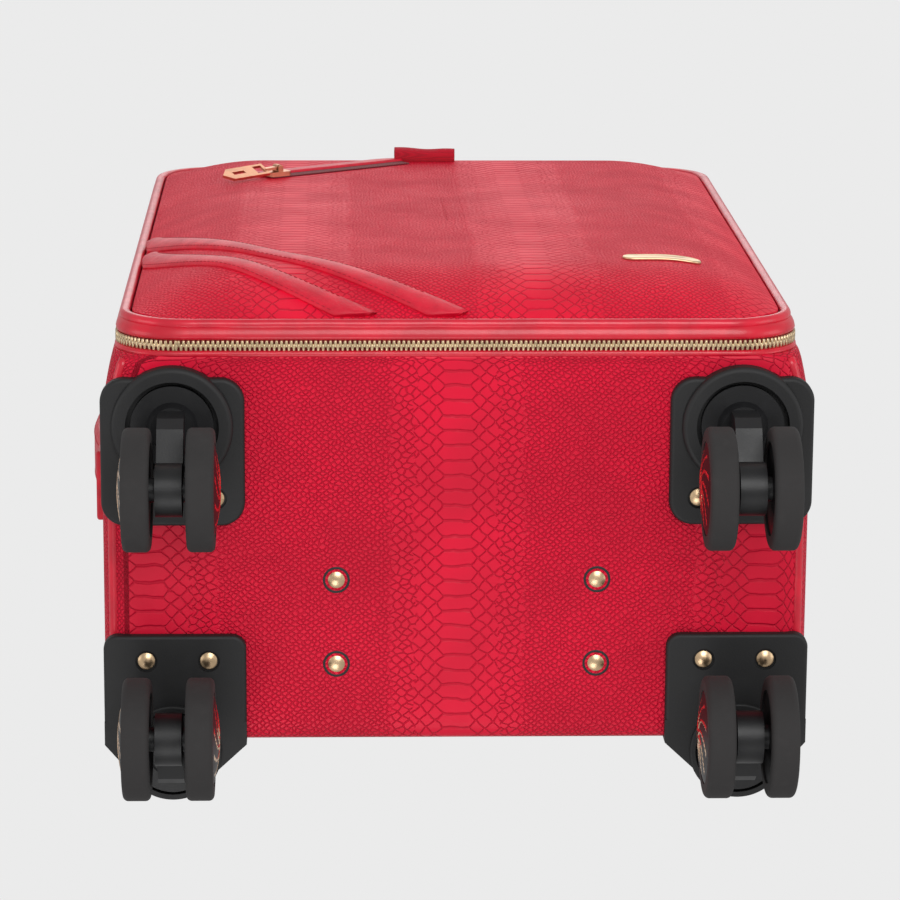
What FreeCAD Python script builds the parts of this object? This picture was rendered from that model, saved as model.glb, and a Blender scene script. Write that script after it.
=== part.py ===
"""Cabin suitcase on four swivelling twin-wheel casters, in millimetres.

The case stands upright on its wheels: +Z up, the lid and its pocket towards -Y, +X to the right
seen from the front. It is drawn about the middle of the case body (X = 0, Y = 0 half way between
the lid piping and the back) with the floor at Z = 0, and every piece is moved at the end so that
the origin is the middle of the whole object's footprint.
"""
import FreeCAD, Part
import math
import os

V = FreeCAD.Vector

# ---- driving sizes -------------------------------------------------------------------------
CASE_W = 350.0          # body width at its widest
CASE_H = 480.0          # body height, bottom cover to top cover
BASE_Z = 80.0           # underside of the body above the floor
PIPING_Y = -106.0       # centre plane of the lid piping
BACK_Y = 106.0          # back face of the body
ZIP_Y = -96.0           # parting plane of the main zip
HALF_W = CASE_W / 2
TOP_Z = BASE_Z + CASE_H
MID_Z = BASE_Z + CASE_H / 2

SKIN_T = 1.4            # leatherette covers
BOARD_T = 2.4           # moulded board of the body
ZIP_HALF_W = 168.3      # half width of the case at the zip
ZIP_CORNER_R = 30.0
PIPE_R = 2.75
FIT_GAP = 0.4           # between faces of different moving bodies
RUN_FIT = 0.05          # radial clearance of pins and kingpins

# body cross-sections from the zip to the back: (Y, half width, inset top and bottom, corner)
BODY_SECTIONS = [(-92.0, 168.4, 0.0, 28.0), (-87.0, 170.0, 0.0, 14.0), (-45.0, HALF_W, 0.0, 12.0),
                 (60.0, HALF_W, 0.0, 12.0), (101.0, 172.5, 0.0, 12.0), (BACK_Y, 168.0, 4.5, 9.0)]

# lid
PANEL_HALF_W = 162.0
PANEL_INSET_Z = 6.0
PANEL_CORNER_R = 29.0
PANEL_FOOT_Y = PIPING_Y + 2.8
DOME_H = 15.0           # how far the pocket stands out in front of the piping plane
DOME_RUN = 62.0         # distance from the edge at which it is flat
PANEL_T = 2.5
FACE_Y = PIPING_Y - DOME_H

# casters: wheel and fork
WHEEL_R = 30.0
TYRE_W = 13.5
TYRE_BORE_R = 23.0
WHEEL_GAP = 17.4        # between the two tyres
ARM_W = 13.0
TRAIL = 21.0
AXLE_R = 3.0
CAP_RISE = 3.0
KINGPIN_R = 4.0
SWIVEL_DISC_R = 20.5
DISC_LOW_Z = 73.0
DISC_TOP_Z = 77.0
PIN_TOP_Z = 88.5

# caster housings
PLATE_X = (105.0, 176.0)
PLATE_LOW_Z = 74.0
COLLAR_LOW_Z = 70.5
FRONT_PLATE_Y = (-80.5, -6.0)
REAR_PLATE_Y = (50.5, 107.0)
FRONT_AXIS = (140.5, -56.5)
REAR_AXIS = (142.0, 111.0)
FRONT_SCREW_Y = -20.0
REAR_SCREW_X = 139.2     # middle of a rear plate's two screws
REAR_SCREW_Y = 63.5
FOOT_SCREW_Y = (23.0, 66.5)
FRONT_RECESS_R = 23.0
REAR_RECESS_R = 21.6
RECESS_TOP_Z = 77.5
HEEL_TOP_Z = 106.0
HEEL_GAP = 0.3          # between the heel and the back cover

# telescopic handle
TROLLEY_X = 5.0         # its centre line, a little right of the middle
TUBE_SPACING = 132.0
TUBE_Y = 88.0
TUBES = {"outer": (20.0, 11.0, 1.1), "middle": (17.0, 8.0, 1.0), "inner": (14.2, 5.2, 0.9)}
TROLLEY_STROKE = 215.0
CUP_HALF = (88.0, 15.0)
CUP_DEPTH = 26.0
GRIP_BACK = 4.0         # the cup and grip are centred this far in front of the tubes
GRIP_T = 15.0
GRIP_DEPTH_Y = 22.0
GRIP_PROUD = 6.0

# carry handles
HANDLE_SPAN = 170.0
HANDLE_RISE = 19.0
HANDLE_T = 7.0
STRAP_W = 30.0
HANDLE_Y = 10.0

# front pocket
POCKET_A = (-93.0, 363.0 + BASE_Z)
POCKET_B = (-22.0, 411.0 + BASE_Z)

# reach of the whole object from the drawing axes
LEFT_REACH = -HALF_W - HANDLE_RISE
RIGHT_REACH = PLATE_X[1]
TAB_RISE = 9.0
FRONT_REACH = FACE_Y - TAB_RISE
BACK_REACH = REAR_AXIS[1] + 24.5
ORIGIN = V(-(LEFT_REACH + RIGHT_REACH) / 2, -(FRONT_REACH + BACK_REACH) / 2, 0)


# ---- helpers -------------------------------------------------------------------------------
def box(x0, x1, y0, y1, z0, z1):
    return Part.makeBox(x1 - x0, y1 - y0, z1 - z0, V(x0, y0, z0))


def cyl(radius, start, end):
    """Cylinder between two points."""
    axis = end - start
    return Part.makeCylinder(radius, axis.Length, start, axis)


def upright(radius, x, y, z0, z1):
    return cyl(radius, V(x, y, z0), V(x, y, z1))


def fuse(shapes):
    joined = shapes[0].fuse(shapes[1:]) if len(shapes) > 1 else shapes[0]
    return joined.removeSplitter()


def face_wire(y, half_w, low, high, corner):
    """Rounded rectangle in the plane Y = y, drawn as four lines and four arcs."""
    x, r = half_w, corner
    cut = r * (1 - math.sqrt(0.5))
    corners = [(-x, low), (x, low), (x, high), (-x, high)]
    inward = [(1, 1), (-1, 1), (-1, -1), (1, -1)]
    edges = []
    for i, ((cx, cz), (sx, sz)) in enumerate(zip(corners, inward)):
        along_x, along_z = V(cx + sx * r, y, cz), V(cx, y, cz + sz * r)
        first, last = (along_z, along_x) if i % 2 == 0 else (along_x, along_z)
        middle = V(cx + sx * cut, y, cz + sz * cut)
        edges.append(Part.Arc(first, middle, last).toShape())
        nx, nz = corners[(i + 1) % 4]
        tx, tz = inward[(i + 1) % 4]
        nxt = V(nx + tx * r, y, nz) if i % 2 == 0 else V(nx, y, nz + tz * r)
        edges.append(Part.makeLine(last, nxt))
    return Part.Wire(edges)


def prism(y0, y1, half_w, low, high, corner):
    """Rounded rectangle extruded from y0 to y1."""
    return Part.Face(face_wire(y0, half_w, low, high, corner)).extrude(V(0, y1 - y0, 0))


def body_form(inset, back_inset):
    """The body's outer form, made smaller all round by inset."""
    wires = []
    for y, half_w, squeeze, corner in BODY_SECTIONS:
        y_here = min(y, BACK_Y - back_inset) if y == BACK_Y else y
        margin = squeeze + inset
        wires.append(face_wire(y_here, half_w - inset, BASE_Z + margin, TOP_Z - margin,
                               max(corner - inset, 4.0)))
    return Part.makeLoft(wires, True, True)


def placed(shape, origin, u, n):
    """Move a shape drawn with u along +X and n along +Z to its place in the object."""
    u, n = V(u).normalize(), V(n).normalize()
    v = n.cross(u)
    turned = shape.copy()
    turned.transformShape(FreeCAD.Matrix(u.x, v.x, n.x, origin.x, u.y, v.y, n.y, origin.y,
                                         u.z, v.z, n.z, origin.z, 0, 0, 0, 1))
    return turned


NODES = {}


def keep(name, shape):
    """Store a node; a list becomes a group of separate solids."""
    if isinstance(shape, list):
        shape = Part.makeCompound([solid for piece in shape for solid in piece.Solids])
    moved = shape.copy()
    moved.translate(ORIGIN)
    NODES[name] = moved


# ---- where the fasteners and casters go ----------------------------------------------------
def front_screw_spots(side):
    return [(side * (FRONT_AXIS[0] + dx), FRONT_SCREW_Y) for dx in (-21.0, 21.0)]


def rear_screw_spots(side):
    return [(side * (REAR_SCREW_X + dx), REAR_SCREW_Y) for dx in (-15.5, 15.5)]


PLATE_SCREWS = [spot for side in (-1, 1) for spot in front_screw_spots(side) + rear_screw_spots(side)]
FOOT_SCREWS = [(TROLLEY_X + side * (TUBE_SPACING / 2 - 1.0), y) for side in (-1, 1) for y in FOOT_SCREW_Y]
SHANK_R = 1.9
SHANK_TOP_Z = BASE_Z + 9.0
BOSS_R = 10.0
BOSS_TOP_Z = PIN_TOP_Z + 4.0


def screw_holes():
    holes = [upright(SHANK_R + 0.1, x, y, PLATE_LOW_Z - 5, SHANK_TOP_Z + 1) for x, y in PLATE_SCREWS + FOOT_SCREWS]
    bosses = [upright(BOSS_R + 0.2, side * FRONT_AXIS[0], FRONT_AXIS[1], BASE_Z - 1, BOSS_TOP_Z + 1)
              for side in (-1, 1)]
    return fuse(holes + bosses)


# ---- body: board, covers, piping, lining ---------------------------------------------------
def cup_opening(grow):
    """The mouth of the handle cup through the top of the body."""
    hx, hy = CUP_HALF[0] + grow, CUP_HALF[1] + grow
    y_mid = TUBE_Y - GRIP_BACK
    return box(TROLLEY_X - hx, TROLLEY_X + hx, y_mid - hy, y_mid + hy,
               TOP_Z - CUP_DEPTH - 2.0 - grow, TOP_Z + 5)


def body_board():
    outer = body_form(SKIN_T, SKIN_T)
    inner = body_form(SKIN_T + BOARD_T, SKIN_T + BOARD_T)
    hollow = inner.fuse(prism(-100, -86, 164.0, BASE_Z + 6, TOP_Z - 6, 12.0))
    board = outer.cut([hollow, box(-200, 200, -120, -87.0, 0, 700), screw_holes(), cup_opening(0.1)])
    return board


EDGE_PIPE_X = 170.6     # where the piping lies on the rounded bottom and top edges
EDGE_PIPE_INSET = PIPE_R + 0.05
BOTTOM_SEAM_X = 155.0   # the bottom cover ends here, short of the rounded edges


def edge_pipe(side, top):
    """One straight run of piping along a long edge of the bottom or top cover."""
    z = TOP_Z - EDGE_PIPE_INSET if top else BASE_Z + EDGE_PIPE_INSET
    return cyl(PIPE_R, V(side * EDGE_PIPE_X, -78.0, z), V(side * EDGE_PIPE_X, 96.0, z))


def body_skin():
    outer = body_form(0, 0)
    inner = body_form(SKIN_T, SKIN_T)
    return outer.cut([inner, box(-200, 200, -120, -87.0, 0, 700), screw_holes(), cup_opening(0.1)])


def body_covers():
    skin = body_skin()
    back = box(-200, 200, BACK_Y - SKIN_T - 0.01, 200, 0, 700)
    bottom = box(-BOTTOM_SEAM_X, BOTTOM_SEAM_X, -120, BACK_Y - SKIN_T - 0.01, 0, BASE_Z + 20)
    keep("bottom_cover", skin.common(bottom))
    keep("back_cover", skin.common(back))
    keep("side_and_top_cover", skin.cut([bottom, back]))
    pipes = [edge_pipe(side, top) for side in (-1, 1) for top in (False, True)]
    keep("body_piping", [pipe.cut(body_form(0, 0)) for pipe in pipes])


LINING_HALF_W = 160.0
LINING_Z = (BASE_Z + 15.0, TOP_Z - 9.0)
LINING_BACK_Y = 80.0
LINING_FRONT_Y = -86.0


def body_lining():
    low, high = LINING_Z
    shell = prism(LINING_FRONT_Y, LINING_BACK_Y, LINING_HALF_W, low, high, 10.0)
    inside = prism(LINING_FRONT_Y - 1, LINING_BACK_Y - 1.0, LINING_HALF_W - 1.0, low + 1, high - 1, 9.0)
    return shell.cut(inside).cut(cup_opening(3.0))


def hinge_gap(y0, y1):
    """The stretch of the left side, between the two ends of the zip, that the lid folds on."""
    return box(-200, -140, y0, y1, BASE_Z + 62, TOP_Z - 62)


def case_front():
    """Gusset strip and both rows of the main zip."""
    low, high = BASE_Z + 0.2, TOP_Z - 0.2
    gusset_wires = [face_wire(-91.8, 168.4, BASE_Z, TOP_Z, 28.5), face_wire(-87.1, 169.9, BASE_Z, TOP_Z, 14.2)]
    gusset = Part.makeLoft(gusset_wires, True, True)
    keep("zip_gusset", gusset.cut(prism(-93, -86, 166.4, BASE_Z + 2.2, TOP_Z - 2.2, 20.0)))
    row_hole = prism(-101, -90, 160.0, low + 8, high - 8, 22.0)
    lower = prism(ZIP_Y + FIT_GAP / 2, -91.9, ZIP_HALF_W, low, high, ZIP_CORNER_R)
    upper = prism(-99.9, ZIP_Y - FIT_GAP / 2, ZIP_HALF_W, low, high, ZIP_CORNER_R)
    gap = hinge_gap(-101, -91)
    keep("main_zip_body_row", lower.cut([row_hole, gap]))
    keep("main_zip_lid_row", upper.cut([row_hole, gap]))


# ---- lid -----------------------------------------------------------------------------------
def dome_rise(inset):
    """Height of the padded panel at a distance from its edge: steep at first, flat by DOME_RUN."""
    t = min(inset / DOME_RUN, 1.0)
    return DOME_H * (1 - (1 - t) ** 2)


def panel_form(shrink, drop):
    """The padded front panel's solid form; drop moves its domed face towards the case."""
    low, high = BASE_Z + PANEL_INSET_Z, TOP_Z - PANEL_INSET_Z
    wires = [face_wire(PANEL_FOOT_Y + (1.0 if drop else 0.0), PANEL_HALF_W - shrink, low + shrink,
                       high - shrink, PANEL_CORNER_R - shrink)]
    for inset in (0.0, 7.0, 15.0, 25.0, 40.0, DOME_RUN):
        edge = inset + shrink
        wires.append(face_wire(PIPING_Y - dome_rise(inset) + drop, PANEL_HALF_W - edge, low + edge,
                               high - edge, max(PANEL_CORNER_R - edge, 6.0)))
    return Part.makeLoft(wires, True, True)


def pocket_frame():
    """Origin, direction along the pocket zip and outward direction of its slider."""
    start = V(POCKET_A[0], FACE_Y, POCKET_A[1])
    end = V(POCKET_B[0], FACE_Y, POCKET_B[1])
    return start, (end - start).normalize(), V(0, -1, 0), (end - start).Length


def pocket_strip(half_v, n0, n1, overrun):
    start, u, n, length = pocket_frame()
    strip = box(-overrun, length + overrun, -half_v, half_v, n0, n1)
    return placed(strip, start, u, n)


def band_face(points, half_width):
    """A strip of even width along a quadratic curve given by start, control and end (X, Z)."""
    start, control, end = [V(x, 0, z) for x, z in points]
    first = (control - start).normalize()
    last = (end - control).normalize()
    mean = (end - start).normalize()
    edges = []
    for side in (1, -1):
        moves = [V(-d.z, 0, d.x) * (side * half_width) for d in (first, mean, last)]
        curve = Part.BezierCurve()
        curve.setPoles([start + moves[0], control + moves[1], end + moves[2]])
        edges.append(curve.toShape())
    ends = [Part.makeLine(edges[0].valueAt(edges[0].LastParameter), edges[1].valueAt(edges[1].LastParameter)),
            Part.makeLine(edges[0].valueAt(edges[0].FirstParameter), edges[1].valueAt(edges[1].FirstParameter))]
    return Part.Face(Part.Wire(Part.__sortEdges__(edges + ends)))


BAND_HALF_W = 6.5
BAND_RISE = 3.0
# start on the left edge, control point, end on the bottom edge, from the lid's lower left corner
BANDS = [((4.0, 202.0), (40.0, 76.0), (167.0, 2.0)), ((5.0, 156.0), (26.0, 56.0), (122.0, 1.0))]


def corner_bands():
    solids = []
    raised = panel_form(0, 0)
    raised.translate(V(0, -BAND_RISE, 0))
    within = prism(-140, PIPING_Y - 1.0, PANEL_HALF_W - 2.5, BASE_Z + PANEL_INSET_Z + 2.5,
                   TOP_Z - PANEL_INSET_Z - 2.5, PANEL_CORNER_R - 2.5)
    for points in BANDS:
        shifted = [(x - 165.0, z + BASE_Z + 3.0) for x, z in points]
        strip = band_face(shifted, BAND_HALF_W).extrude(V(0, -60, 0))
        strip.translate(V(0, PIPING_Y + 5, 0))
        solids.append(strip.common(raised).common(within).cut(panel_form(0, 0)))
    return solids


def pull_tab():
    """A folded leather loop standing on the panel at the upper end of the pocket zip."""
    x0, x1, z = -22.0, 10.0, 422.0 + BASE_Z
    r = 4.4
    loop = cyl(r, V(x0, FACE_Y - TAB_RISE + r, z), V(x1, FACE_Y - TAB_RISE + r, z))
    legs = box(x0, x1, FACE_Y - TAB_RISE + r, FACE_Y - 0.1, z - r, z + r)
    hole = cyl(r - 1.6, V(x0 - 1, FACE_Y - TAB_RISE + r, z), V(x1 + 1, FACE_Y - TAB_RISE + r, z))
    return fuse([loop, legs]).cut(hole)


def lid():
    panel = panel_form(0, 0).cut(panel_form(2.2, PANEL_T))
    groove = pocket_strip(4.8, -0.9, 8.0, 5.0)
    slit = pocket_strip(2.0, -4.0, 0.0, -2.0)
    keep("front_panel", panel.cut([groove, slit]))
    keep("pocket_zip", pocket_strip(3.4, -0.8, 0.4, 4.0))
    keep("lid_board", prism(-103.0, -100.2, 155.7, BASE_Z + 12.5, TOP_Z - 12.5, 24.0))
    keep("lid_lining", prism(-99.9, -99.1, 158.0, BASE_Z + 10.5, TOP_Z - 10.5, 24.0))
    rim_wires = [face_wire(-103.2, 167.2, BASE_Z + 0.9, TOP_Z - 0.9, 31.0),
                 face_wire(-100.0, 168.1, BASE_Z + 0.3, TOP_Z - 0.3, 30.2)]
    rim = Part.makeLoft(rim_wires, True, True)
    keep("lid_rim", rim.cut(prism(-104, -99, 156.0, BASE_Z + 12.2, TOP_Z - 12.2, 24.3)))
    path = face_wire(PIPING_Y, 165.0, BASE_Z + 3.0, TOP_Z - 3.0, 32.0)
    start = path.Edges[1].valueAt(path.Edges[1].FirstParameter)
    profile = Part.Wire(Part.makeCircle(PIPE_R, start, V(1, 0, 0)))
    ordered = Part.Wire(path.OrderedEdges[1:] + path.OrderedEdges[:1])
    keep("lid_piping", ordered.makePipeShell([profile], True, False))
    keep("corner_bands", corner_bands())
    plate = box(86.0, 126.0, FACE_Y - 1.4, FACE_Y - 0.1, BASE_Z + 67.0, BASE_Z + 78.0)
    upright_edges = [e for e in plate.Edges if abs(e.BoundBox.YLength - 1.3) < 0.01]
    keep("badge_plate", plate.makeFillet(5.0, upright_edges))
    keep("pull_tab", pull_tab())


# ---- zip sliders and pullers, drawn with u along the zip, n outwards ------------------------
PIVOT_N = 5.6
POCKET_PULLER_DIP = 3.0     # its plate leans this many degrees towards the pocket
POCKET_PULLER_TWIST = 22.0  # and is turned about its own length
PIVOT_R = 0.8
NECK = 8.5                  # from the pivot to the plate, which so stays clear of the slider
EAR_V = (2.4, 3.5)


def zip_slider():
    plate = box(-7.0, 7.0, -4.2, 4.2, 0.8, 3.4)
    plate = plate.makeFillet(2.0, [e for e in plate.Edges if abs(e.BoundBox.ZLength - 2.6) < 0.01])
    ears = []
    for side in (-1, 1):
        v0, v1 = sorted((side * EAR_V[0], side * EAR_V[1]))
        ears.append(box(-1.6, 1.6, v0, v1, 3.3, PIVOT_N))
        ears.append(cyl(1.6, V(0, v0, PIVOT_N), V(0, v1, PIVOT_N)))
    pin = cyl(PIVOT_R, V(0, -EAR_V[1], PIVOT_N), V(0, EAR_V[1], PIVOT_N))
    return fuse([plate] + ears + [pin])


def zip_puller(length, width, twist=0.0):
    """Eye, neck and a flat plate with a pointed end and a slot, reaching towards -u."""
    half_t = 0.8
    eye = cyl(1.9, V(0, -2.0, PIVOT_N), V(0, 2.0, PIVOT_N))
    neck = box(-NECK - 1.0, -0.5, -2.0, 2.0, PIVOT_N - half_t, PIVOT_N + half_t)
    tip = length - width * 0.45
    outline = [(-NECK, -width / 2), (-tip, -width / 2), (-length, 0), (-tip, width / 2), (-NECK, width / 2)]
    corners = [V(u, v, PIVOT_N - half_t) for u, v in outline]
    plate = Part.Face(Part.makePolygon(corners + corners[:1])).extrude(V(0, 0, 2 * half_t))
    slot = box(-tip + 2.0, -tip + 10.0, -1.5, 1.5, PIVOT_N - 3, PIVOT_N + 3)
    ring_hole = box(-NECK - 7.5, -NECK - 1.8, -width / 2 + 1.8, width / 2 - 1.8, PIVOT_N - 3, PIVOT_N + 3)
    pin_hole = cyl(PIVOT_R + 0.3, V(0, -5, PIVOT_N), V(0, 5, PIVOT_N))
    plate = plate.cut([slot, ring_hole])
    plate.rotate(V(0, 0, PIVOT_N), V(1, 0, 0), twist)
    return fuse([eye, neck, plate]).cut(pin_hole)


MAIN_SLIDER_X = {"left": -20.0, "right": 40.0}  # side by side on the top run of the zip


def main_slider_origin(which):
    return V(MAIN_SLIDER_X[which], ZIP_Y, TOP_Z - 0.2)


def sliders():
    start, u, n, _ = pocket_frame()
    keep("pocket_slider", placed(zip_slider(), start, u, n))
    puller = zip_puller(38.0, 11.0, POCKET_PULLER_TWIST)
    puller.rotate(V(0, 0, PIVOT_N), V(0, 1, 0), -POCKET_PULLER_DIP)
    keep("pocket_puller", placed(puller, start, u, n))
    for which in MAIN_SLIDER_X:
        spot = main_slider_origin(which)
        keep(f"main_slider_{which}", placed(zip_slider(), spot, V(1, 0, 0), V(0, 0, 1)))
        keep(f"main_puller_{which}", placed(zip_puller(38.0, 8.4), spot, V(1, 0, 0), V(0, 0, 1)))


# ---- casters -------------------------------------------------------------------------------
def recess_and_bore(x, y, recess_r):
    recess = upright(recess_r, x, y, COLLAR_LOW_Z - 5, RECESS_TOP_Z)
    bore = upright(KINGPIN_R + RUN_FIT, x, y, RECESS_TOP_Z - 1, PIN_TOP_Z + 0.5)
    return [recess, bore]


def screw_seats(spots):
    seats = [upright(5.5, x, y, PLATE_LOW_Z - 2, PLATE_LOW_Z + 1.5) for x, y in spots]
    return seats + [upright(SHANK_R + 0.1, x, y, PLATE_LOW_Z - 2, BASE_Z + 1) for x, y in spots]


def plate_outline(y0, y1, corner):
    """A plate on the right-hand side with all four upright edges rounded."""
    plate = box(PLATE_X[0], PLATE_X[1], y0, y1, PLATE_LOW_Z, BASE_Z - 0.05)
    return plate.makeFillet(corner, [e for e in plate.Edges if e.BoundBox.ZLength > 5])


def front_housing():
    """Drawn for the right-hand side."""
    x, y = FRONT_AXIS
    y0, y1 = FRONT_PLATE_Y
    plate = plate_outline(y0, y1, 12.0)
    low_edges = [e for e in plate.Edges if e.BoundBox.ZMax < PLATE_LOW_Z + 0.01]
    plate = plate.makeFillet(2.0, low_edges)
    collar = upright(30.0, x, y, COLLAR_LOW_Z, BASE_Z - 0.05)
    rim = [e for e in collar.Edges if e.BoundBox.ZMax < COLLAR_LOW_Z + 0.01]
    collar = collar.makeFillet(2.5, rim)
    boss = upright(BOSS_R, x, y, BASE_Z - 2, BOSS_TOP_Z)
    whole = fuse([plate, collar, boss])
    return whole.cut(recess_and_bore(x, y, FRONT_RECESS_R) + screw_seats(front_screw_spots(1)))


def rear_housing():
    """Drawn for the right-hand side; its heel wraps round the back edge and carries the swivel."""
    x, y = REAR_AXIS
    y0, y1 = REAR_PLATE_Y
    plate = plate_outline(y0, y1 - 1.0, 7.0)
    low_edges = [e for e in plate.Edges if e.BoundBox.ZMax < PLATE_LOW_Z + 0.01]
    plate = plate.makeFillet(1.8, low_edges)
    heel_front = BACK_Y + HEEL_GAP
    x0, x1 = PLATE_X
    shoulder = [(x0, y1), (x - 22.0, 121.0), (x + 22.0, 121.0), (x1, y1)]

    def heel_layer(front, z0, z1):
        corners = [V(x0, front, z0)] + [V(px, py, z0) for px, py in shoulder] + [V(x1, front, z0)]
        slab = Part.Face(Part.makePolygon(corners + corners[:1])).extrude(V(0, 0, z1 - z0))
        drum = upright(24.5, x, y, z0, z1)
        return slab.fuse(drum).cut(box(0, 200, 0, front, z0 - 1, z1 + 1))

    heel = heel_layer(heel_front, BASE_Z - 1.0, HEEL_TOP_Z)
    foot = heel_layer(y1 - 12.0, PLATE_LOW_Z, BASE_Z - 0.05)
    collar = upright(24.5, x, y, COLLAR_LOW_Z + 1.5, BASE_Z - 0.05)
    rim = [e for e in collar.Edges if e.BoundBox.ZMax < COLLAR_LOW_Z + 1.51]
    collar = collar.makeFillet(1.0, rim)
    whole = fuse([plate, heel, foot, collar])
    slope = Part.Face(Part.makePolygon([V(0, 200, HEEL_TOP_Z - 22), V(0, heel_front + 2, HEEL_TOP_Z),
                                        V(0, heel_front + 2, HEEL_TOP_Z + 9), V(0, 200, HEEL_TOP_Z + 9),
                                        V(0, 200, HEEL_TOP_Z - 22)])).extrude(V(250, 0, 0))
    return whole.cut(recess_and_bore(x, y, REAR_RECESS_R) + screw_seats(rear_screw_spots(1)) + [slope])


def fork(x, y, trail):
    """Swivel disc, kingpin, neck, arm and the axle pressed through the arm, as two solids."""
    disc = upright(SWIVEL_DISC_R, x, y, DISC_LOW_Z, DISC_TOP_Z)
    pin = upright(KINGPIN_R, x, y, DISC_TOP_Z - 1, PIN_TOP_Z)
    neck = Part.makeCone(10.5, 12.5, 4.0, V(x, y, DISC_LOW_Z - 4.0), V(0, 0, 1))
    way = 1 if trail > 0 else -1
    profile = [(-9.0, DISC_LOW_Z + 0.5), (-9.0, 53.0), (-5.0, 47.0), (11.0, 38.5), (TRAIL, 30.0),
               (TRAIL + 11.5, 36.0), (TRAIL + 6.0, 46.0), (11.0, 58.0), (11.0, DISC_LOW_Z + 0.5)]
    corners = [V(x - ARM_W / 2, y + way * py, pz) for py, pz in profile]
    arm = Part.Face(Part.makePolygon(corners + corners[:1])).extrude(V(ARM_W, 0, 0))
    axle_y = y + way * TRAIL
    boss = cyl(13.0, V(x - ARM_W / 2, axle_y, WHEEL_R), V(x + ARM_W / 2, axle_y, WHEEL_R))
    frame = fuse([disc, pin, neck, arm, boss])
    reach = WHEEL_GAP / 2 + TYRE_W - 3.0
    hole = cyl(AXLE_R, V(x - ARM_W, axle_y, WHEEL_R), V(x + ARM_W, axle_y, WHEEL_R))
    axle = cyl(AXLE_R, V(x - reach, axle_y, WHEEL_R), V(x + reach, axle_y, WHEEL_R))
    return [frame.cut(hole), axle]


def wheel_pieces(x, axle_y, side):
    """Tyre and hub of one wheel, on the side (+1 or -1) of the arm at x."""
    inner = WHEEL_GAP / 2
    outer = inner + TYRE_W

    def at(distance):
        return V(x + side * distance, axle_y, WHEEL_R)

    tyre = cyl(WHEEL_R, at(inner), at(outer))
    tyre = tyre.makeFillet(2.6, [e for e in tyre.Edges if e.Curve.TypeId == "Part::GeomCircle"])
    tyre = tyre.cut(cyl(TYRE_BORE_R, at(inner - 1), at(outer + 1)))
    rim_r = TYRE_BORE_R - 0.1
    core = cyl(rim_r, at(inner + 1.0), at(outer - 0.5))
    spacer = cyl(6.0, at(ARM_W / 2 + 0.5), at(inner + 2))
    crown_r = (rim_r ** 2 + CAP_RISE ** 2) / (2 * CAP_RISE)
    ball = Part.makeSphere(crown_r, at(outer - 0.5 + CAP_RISE - crown_r))
    crown = ball.common(cyl(rim_r, at(outer - 0.5), at(outer + CAP_RISE + 1)))
    bore = cyl(AXLE_R + RUN_FIT, at(0), at(inner + TYRE_W - 2.6))
    hub = fuse([core, spacer, crown]).cut(bore)
    return tyre, hub


CASTERS = {"front_left": (-FRONT_AXIS[0], FRONT_AXIS[1], TRAIL), "front_right": (*FRONT_AXIS, TRAIL),
           "rear_left": (-REAR_AXIS[0], REAR_AXIS[1], -TRAIL), "rear_right": (*REAR_AXIS, -TRAIL)}


def casters():
    for corner, (x, y, trail) in CASTERS.items():
        housing = front_housing() if corner.startswith("front") else rear_housing()
        if corner.endswith("left"):
            housing = housing.mirror(V(0, 0, 0), V(1, 0, 0))
        keep(f"{corner}_housing", housing)
        keep(f"{corner}_fork", fork(x, y, trail))
        for side, name in ((-1, "a"), (1, "b")):
            tyre, hub = wheel_pieces(x, y + trail, side)
            keep(f"{corner}_tyre_{name}", tyre)
            keep(f"{corner}_hub_{name}", hub)


def screws():
    """Flat-domed heads seated in the plates and, for the handle foot, on the bottom cover."""
    def screw(x, y, head_r, seat_z):
        ball_r = head_r * 1.6
        ball = Part.makeSphere(ball_r, V(x, y, seat_z - 2.4 + ball_r))
        head = upright(head_r, x, y, seat_z - 2.4, seat_z).common(ball)
        return fuse([head, upright(SHANK_R, x, y, seat_z - 0.5, SHANK_TOP_Z)])

    heads = [screw(x, y, 4.3, PLATE_LOW_Z + 1.5) for x, y in PLATE_SCREWS]
    heads += [screw(x, y, 5.0, BASE_Z) for x, y in FOOT_SCREWS]
    keep("bottom_screws", heads)


# ---- telescopic handle ---------------------------------------------------------------------
FOOT_TOP_Z = BASE_Z + 10.0
TUBE_LOW_Z = BASE_Z + 12.0
CUP_FLOOR_Z = TOP_Z - CUP_DEPTH
GRIP_TOP_Z = TOP_Z + GRIP_PROUD


def tube_pair(stage, z0, z1, hollow=True):
    size_x, size_y, wall = TUBES[stage]
    pair = []
    for side in (-1, 1):
        x = TROLLEY_X + side * TUBE_SPACING / 2
        tube = box(x - size_x / 2, x + size_x / 2, TUBE_Y - size_y / 2, TUBE_Y + size_y / 2, z0, z1)
        if hollow:
            core = box(x - size_x / 2 + wall, x + size_x / 2 - wall, TUBE_Y - size_y / 2 + wall,
                       TUBE_Y + size_y / 2 - wall, z0 - 1, z1 + 1)
            tube = tube.cut(core)
        pair.append(tube)
    return pair


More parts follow.
